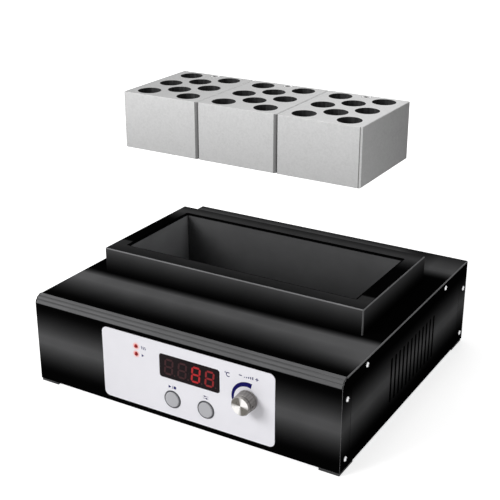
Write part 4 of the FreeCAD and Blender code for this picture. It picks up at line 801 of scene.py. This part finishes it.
def cross_cutter_mesh(radius, height):
    """Two tapered blades that cross and reach three quarters of the way down the head."""
    bm = bmesh.new()
    reach, half, depth = 0.56 * radius, 0.19 * radius, 0.75 * height
    for turn, wider in ((0, 1), (pi / 2, 1.05)):
        # The second blade is a little wider, so that no two faces lie in one plane.
        spin = Matrix.Rotation(turn, 4, "Z")
        corners = []
        for z, length, width in ((height - depth, 0.35 * reach, 0.7 * half),
                                 (1.2 * height, reach, wider * half)):
            corners += [bm.verts.new(spin @ Vector((x * length, y * width, z)))
                        for x, y in SQUARE]
        foot, top = corners[:4], corners[4:]
        bm.faces.new(list(reversed(foot)))
        bm.faces.new(top)
        for n in range(4):
            bm.faces.new((foot[n], foot[(n + 1) % 4], top[(n + 1) % 4], top[n]))
    return mesh_from("cutter", bm)


def cut_mesh(base, cutter):
    """The first mesh with the second one taken away, as a new mesh."""
    items = [bpy.data.objects.new("work", mesh) for mesh in (base, cutter)]
    for item in items:
        scene.collection.objects.link(item)
    step = items[0].modifiers.new("cut", "BOOLEAN")
    step.object = items[1]
    step.operation = "DIFFERENCE"
    step.solver = "EXACT"
    step.use_self = True
    bpy.context.view_layer.update()
    graph = bpy.context.evaluated_depsgraph_get()
    result = bpy.data.meshes.new_from_object(items[0].evaluated_get(graph))
    for item in items:
        bpy.data.objects.remove(item)
    return result


def mark_recess(head, radius, height):
    """The walls and floor of the recess take the second material."""
    for face in head.polygons:
        reach = max(head.vertices[index].co.xy.length for index in face.vertices)
        inner = face.normal.z < 0.75 or face.center.z < 0.6 * height
        inner = inner and face.center.z > 0.2 * height
        face.material_index = 1 if reach < RECESS_SHARE * radius and inner else 0


def add_copy(bm, mesh, matrix):
    """Adds a moved copy of a mesh and leaves the mesh as it is."""
    moved = mesh.copy()
    moved.transform(matrix)
    bm.from_mesh(moved)
    bpy.data.meshes.remove(moved)


def shank_mesh(radius, length):
    """A plain rod below the XY plane."""
    bm = bmesh.new()
    bmesh.ops.create_cone(bm, cap_ends=True, segments=20, radius1=radius, radius2=radius,
                          depth=length, matrix=Matrix.Translation((0, 0, -length / 2)))
    return mesh_from("shank", bm)


AXES = {"X": 0, "Y": 1, "Z": 2}


def screws(node, axis, outward=None):
    """Detailed screws in place of a node of plain ones, shanks included."""
    radius, height = SCREW_RADIUS, SCREW_HEIGHT
    head = cut_mesh(screw_head_mesh(radius, height), cross_cutter_mesh(radius, height))
    mark_recess(head, radius, height)
    index = AXES[axis]
    middle = (cad_bounds[0][index] + cad_bounds[1][index]) / 2
    bm = bmesh.new()
    for number, (low, high) in enumerate(solid_boxes(node)):
        centre = (low + high) / 2
        sign = outward if outward else (1 if centre[index] > middle else -1)
        direction = Vector([sign if n == index else 0 for n in range(3)])
        spot = centre.copy()
        spot[index] = (high if sign > 0 else low)[index] - sign * height
        seat = Matrix.Translation(spot) @ direction.to_track_quat("Z", "Y").to_matrix().to_4x4()
        turn = Matrix.Rotation(radians(23 + 61 * number), 4, "Z")
        add_copy(bm, head, seat @ turn)
        add_copy(bm, shank_mesh(SHANK_RADIUS, abs((high - low)[index]) - height), seat)
    item = finish_piece(f"{node}_detailed", bm, cad[node]["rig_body"],
                        [materials["bright_steel"], materials["trim_dark"]])
    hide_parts(node)


# Front panel print, digits of the display and marks on the rocker

# How far print goes into the film and stands out; strokes that cross differ a little
PRINT_SUNK = 0.02 * MM
PRINT_PROUD = 0.05 * MM
OVERLAP = 0.004 * MM

# Height of the marks above the middle of the buttons and the knob, and stroke of the
# minus and plus signs
LABEL_RISE = 11.6 * MM
SCALE_RISE = 20.3 * MM
SIGN_STROKE = 0.75 * MM


def crescent(bm, x, z, face):
    """The dial mark round the knob: broad at the top and a hairline at the bottom."""
    start, end, steps = radians(76), radians(264), 48
    outer, broad, fine, taper = 15.4 * MM, 4.5 * MM, 0.4 * MM, 0.95
    inner = []
    for n in range(steps + 1):
        share = n / steps
        width = fine + (broad - fine) * (1 - share) ** taper
        angle = start + (end - start) * share
        inner.append((x + (outer - width) * cos(angle), z + (outer - width) * sin(angle)))
    shape = arc_points(x, z, outer, start, end, steps) + list(reversed(inner))
    prism(bm, shape, face - PRINT_PROUD, face + PRINT_SUNK)


def degree_mark(bm, x, z, face):
    """A small degree ring and a letter C, built from arcs."""
    near, far = face - PRINT_PROUD, face + PRINT_SUNK
    prism(bm, ring_band(x - 1.7 * MM, z + 1.7 * MM, 0.75 * MM, 0.38 * MM, 24), near, far)
    prism(bm, ring_band(x + 0.9 * MM, z, 2.1 * MM, 1.35 * MM, 28, radians(48), radians(312)),
          near, far)


def lamp_marks(bm, near, far):
    """Rising waves beside the upper lamp say heat; a triangle by the lower says running."""
    lamps = sorted(solid_boxes("indicator_leds"), key=lambda pair: pair[0].z)
    left = lamps[0][1].x + 4.4 * MM
    lower, upper = ((low.z + high.z) / 2 for low, high in lamps)
    for n in range(3):
        x = left + n * 1.7 * MM
        wave = [(x + 0.35 * MM * sin(t * pi / 4), upper + (t - 4) * 0.34 * MM)
                for t in range(9)]
        shape = [(px - 0.34 * MM, pz) for px, pz in wave]
        shape += [(px + 0.34 * MM, pz) for px, pz in reversed(wave)]
        prism(bm, shape, near, far)
    prism(bm, around(left, lower, (-0.3, -1.3), (2.1, 0), (-0.3, 1.3)), near, far)


def button_marks(bm, near, far):
    """Start and stop signs over the first button, two sliders over the second."""
    start, choose = middle_of("start_button"), middle_of("set_button")
    label = start.z + LABEL_RISE
    prism(bm, around(start.x, label, (-3.6, -1.4), (-1.0, 0), (-3.6, 1.4)), near, far)
    slash = around(start.x, label, (-0.1, -1.6), (0.7, 1.6))
    prism(bm, bar(*slash, 0.35 * MM), near, far)
    stop = around(start.x, label, (1.5, -1.2), (3.9, -1.2), (3.9, 1.2), (1.5, 1.2))
    prism(bm, stop, near, far)
    for row, knob_at in ((0.95, -0.8), (-0.95, 0.9)):
        z = label + row * MM
        prism(bm, bar(*around(choose.x, z, (-2.6, 0), (2.6, 0)), 0.32 * MM), near, far)
        prism(bm, dot(choose.x + knob_at * MM, z, 0.72 * MM), near, far - OVERLAP)


def knob_marks(bm, near, far):
    """Minus, a rising scale and plus above the knob."""
    knob = middle_of("knob")
    z = knob.z + SCALE_RISE
    prism(bm, bar(*around(knob.x, z, (-8.4, 0), (-5.6, 0)), SIGN_STROKE), near, far)
    for n in range(5):
        x = knob.x + (n * 1.9 - 3.2) * MM
        step = around(x, z, (0, -1.2), (0, n * 0.5 - 0.6))
        prism(bm, bar(*step, 0.85 * MM), near, far)
    x = knob.x + 8.2 * MM
    prism(bm, bar(*around(x, z, (-1.4, 0), (1.4, 0)), SIGN_STROKE), near, far)
    prism(bm, bar(*around(x, z, (0, -1.4), (0, 1.4)), SIGN_STROKE), near + OVERLAP, far)


def panel_print():
    """Generic marks: the dial mark, the unit, and icons at lamps, buttons and knob."""
    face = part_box("front_overlay")[0].y
    near, far = face - PRINT_PROUD, face + PRINT_SUNK
    knob = middle_of("knob")
    window_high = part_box("display_window")[1]
    bm = bmesh.new()
    crescent(bm, knob.x, knob.z, face)
    degree_mark(bm, window_high.x + 6.0 * MM, window_high.z - 2.8 * MM, face)
    lamp_marks(bm, near, far)
    button_marks(bm, near, far)
    knob_marks(bm, near, far)
    finish_piece("panel_print", bm, "case", [INK])


def digit_segments(x, z, width, height, stroke, lean):
    """Seven slanted bars with pointed ends: top, middle, bottom and the four sides."""
    half_w, half_h, gap = width / 2, height / 2, 0.18 * stroke
    cut = stroke / 2

    def slant(px, pz):
        return (x + px + lean * pz, z + pz)

    def level(pz):
        a, b = -half_w + gap + cut, half_w - gap - cut
        return [slant(a - cut, pz), slant(a, pz - cut), slant(b, pz - cut), slant(b + cut, pz),
                slant(b, pz + cut), slant(a, pz + cut)]

    def upright(px, sign):
        a, b = sign * gap + sign * cut, sign * (half_h - gap) - sign * cut
        return [slant(px, a - sign * cut), slant(px + cut, a), slant(px + cut, b),
                slant(px, b + sign * cut), slant(px - cut, b), slant(px - cut, a)]

    shapes = [level(half_h), level(0), level(-half_h)]
    shapes += [upright(px, sign) for px in (-half_w, half_w) for sign in (1, -1)]
    return shapes


# Digits: spacing, size, stroke, lean, how far they stand out and go in, and their points
DIGIT_PITCH = 13.3 * MM
DIGIT_WIDTH = 7.2 * MM
DIGIT_HEIGHT = 13.2 * MM
DIGIT_STROKE = 1.75 * MM
DIGIT_LEAN = 0.09
DIGIT_PROUD = 0.05 * MM
DIGIT_SUNK = 0.1 * MM
POINT_RADIUS = 0.8 * MM
POINT_GAP = 2.1 * MM


def display_digits():
    """Four digits on the window's face; the right pair shows two lit eights."""
    low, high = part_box("display_window")
    face, centre = low.y, (low + high) / 2
    pitch, width, height = DIGIT_PITCH, DIGIT_WIDTH, DIGIT_HEIGHT
    near, far = face - DIGIT_PROUD, face + DIGIT_SUNK
    groups = {"digits_unlit": ([0, 1], DIGIT_OFF), "digits_lit": ([2], DIGIT_ON),
              "digits_soft": ([3], DIGIT_SOFT)}
    for name, (places, mat) in groups.items():
        bm = bmesh.new()
        for place in places:
            x = centre.x + (place - 1.5) * pitch
            for shape in digit_segments(x, centre.z, width, height, DIGIT_STROKE, DIGIT_LEAN):
                prism(bm, shape, near, far)
        finish_piece(name, bm, "case", [mat])
    bm = bmesh.new()
    for place in range(4):
        x = centre.x + (place - 1.5) * pitch + width / 2 + POINT_GAP
        prism(bm, dot(x, centre.z - height / 2, POINT_RADIUS), near, far)
    finish_piece("decimal_points", bm, "case", [DIGIT_OFF])


# The rocker's tilt at rest, the slope and middle of its halves, seen from its pin, and how
# far the marks go in and stand out
ROCKER_TILT = radians(10)
HALF_SLOPE = atan2(1.5, 8.2)
HALF_DEPTH = 2.75 * MM
HALF_MIDDLE = 4.1 * MM
MARK_SUNK = 0.05 * MM
MARK_PROUD = 0.06 * MM


def rocker_marks():
    """The line and ring moulded on the two halves of the mains switch."""
    pivot = middle_of("rocker_pin")
    tilt = Matrix.Rotation(ROCKER_TILT, 4, "X")
    shapes = {1: bar(*around(0, 0, (0, -1.5), (0, 1.5)), 0.6 * MM),
              -1: ring_band(0, 0, 1.6 * MM, 1.05 * MM, 32)}
    bm = bmesh.new()
    for sign, shape in shapes.items():
        face = Matrix.Translation((0, HALF_DEPTH, sign * HALF_MIDDLE))
        lean = Matrix.Rotation(-sign * HALF_SLOPE, 4, "X")
        move = Matrix.Translation(pivot) @ tilt @ face @ lean
        prism(bm, shape, -MARK_SUNK, MARK_PROUD, move)
    finish_piece("rocker_marks", bm, "rocker", [WHITE_MARK])


# Painted light of the lamps on the film: its tint, and the radii where it is full and where it
# is gone
LAMP_GLOW = (0.95, 0.42, 0.38)
GLOW_RADII = (1.5, 4.0)


def tint_overlay():
    """The film is lighter to the right, and the two lamps' light is painted round them as a
    warm tint.
    """
    mat = materials["overlay"]
    shader = shader_of(mat)
    colour = shader.inputs["Base Color"].links[0].from_socket
    far = mix_colour(mat, ramp(mat, noise(mat, 15), 0, 1), (0.875, 0.866, 0.912),
                     (0.895, 0.886, 0.931))
    colour = mix_colour(mat, share_along(mat, "X", -70, 100), colour, far)
    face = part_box("front_overlay")[0].y
    for low, high in solid_boxes("indicator_leds"):
        spot = (low + high) / 2
        colour = round_glow(mat, colour, LAMP_GLOW, (spot.x, face, spot.z), *GLOW_RADII)
    link(mat, colour, shader.inputs["Base Color"])


INK = plastic("ink", (0.012, 0.011, 0.105), 0.5, 0.3, 0.004, Specular_IOR_Level=0.0)
WHITE_MARK = plastic("white_mark", (0.75, 0.75, 0.75), 0.5)
DIGIT_OFF = plastic("digit_off", (0.045, 0.018, 0.02), 0.35, 2.0, 0.002,
                    Specular_IOR_Level=0.05)
DIGIT_ON = glowing("digit_on", (0.62, 0.015, 0.02), 0.5, (0.12, 0.01, 0.01))
DIGIT_SOFT = glowing("digit_soft", (0.40, 0.014, 0.02), 0.4, (0.08, 0.01, 0.01))

for screw_node, screw_axis in (("side_screws", "X"), ("inlet_screws", "Y")):
    screws(screw_node, screw_axis)
screws("foot_screws", "Z", outward=-1)
panel_print()
display_digits()
rocker_marks()
tint_overlay()


# Stage, light and camera

def seen_rays(owner):
    """One for rays from the camera, off gloss or through glass, and nothing for others."""
    rays = add_node(owner, "ShaderNodeLightPath").outputs
    seen = math_node(owner, "MAXIMUM", rays["Is Camera Ray"], rays["Is Glossy Ray"])
    return math_node(owner, "MAXIMUM", seen, rays["Is Transmission Ray"])


def stage_floor():
    """A white floor that takes the shadow and looks as bright as the background."""
    corners = [(x * FLOOR_HALF, y * FLOOR_HALF, 0) for x, y in SQUARE]
    mesh = bpy.data.meshes.new("floor")
    mesh.from_pydata(corners, [], [(0, 1, 2, 3)])
    item = bpy.data.objects.new("floor", mesh)
    scene.collection.objects.link(item)
    mat = bpy.data.materials.new("floor_white")
    mat.use_nodes = True
    shader = shader_of(mat)
    shader.inputs["Base Color"].default_value = (*plain(FLOOR_TONE), 1)
    shader.inputs["Roughness"].default_value = 0.9
    shader.inputs["Specular IOR Level"].default_value = 0.0
    distance = add_node(mat, "ShaderNodeVectorMath", operation="LENGTH")
    link(mat, place_coords(mat), distance.inputs[0])
    far = ramp(mat, distance.outputs["Value"], FLOOR_LIFT, FAR_LIFT, LIFT_STARTS, LIFT_ENDS)
    shader.inputs["Emission Color"].default_value = (1, 1, 1, 1)
    link(mat, math_node(mat, "MULTIPLY", seen_rays(mat), far),
         shader.inputs["Emission Strength"])
    mesh.materials.append(mat)


def area_light(name, place, target, size, power):
    data = bpy.data.lights.new(name, "AREA")
    data.shape = "RECTANGLE"
    data.size, data.size_y = size
    data.energy = power
    item = bpy.data.objects.new(name, data)
    item.location = place
    aim = Vector(target) - Vector(place)
    item.rotation_euler = aim.to_track_quat("-Z", "Y").to_euler()
    scene.collection.objects.link(item)


def studio_world():
    """Even sky light that the camera, gloss and glass see as plain white."""
    world = bpy.data.worlds.new("studio")
    world.use_nodes = True
    scene.world = world
    sky = world.node_tree.nodes["Background"]
    white = add_node(world, "ShaderNodeBackground")
    for back, strength in ((sky, SKY_STRENGTH), (white, 1.0)):
        back.inputs["Color"].default_value = (1, 1, 1, 1)
        back.inputs["Strength"].default_value = strength
    mix = add_node(world, "ShaderNodeMixShader")
    link(world, seen_rays(world), mix.inputs["Fac"])
    link(world, sky.outputs["Background"], mix.inputs[1])
    link(world, white.outputs["Background"], mix.inputs[2])
    link(world, mix.outputs["Shader"], world.node_tree.nodes["World Output"].inputs["Surface"])


def camera():
    data = bpy.data.cameras.new("camera")
    data.lens = CAMERA_LENS
    data.sensor_width = CAMERA_SENSOR
    item = bpy.data.objects.new("camera", data)
    item.location = CAMERA_PLACE
    item.rotation_euler = (pi / 2 - CAMERA_TILT, 0, CAMERA_TURN)
    scene.collection.objects.link(item)
    scene.camera = item


stage_floor()
studio_world()
for lamp in LAMPS:
    area_light(*lamp)
camera()
scene.view_settings.view_transform = "Standard"
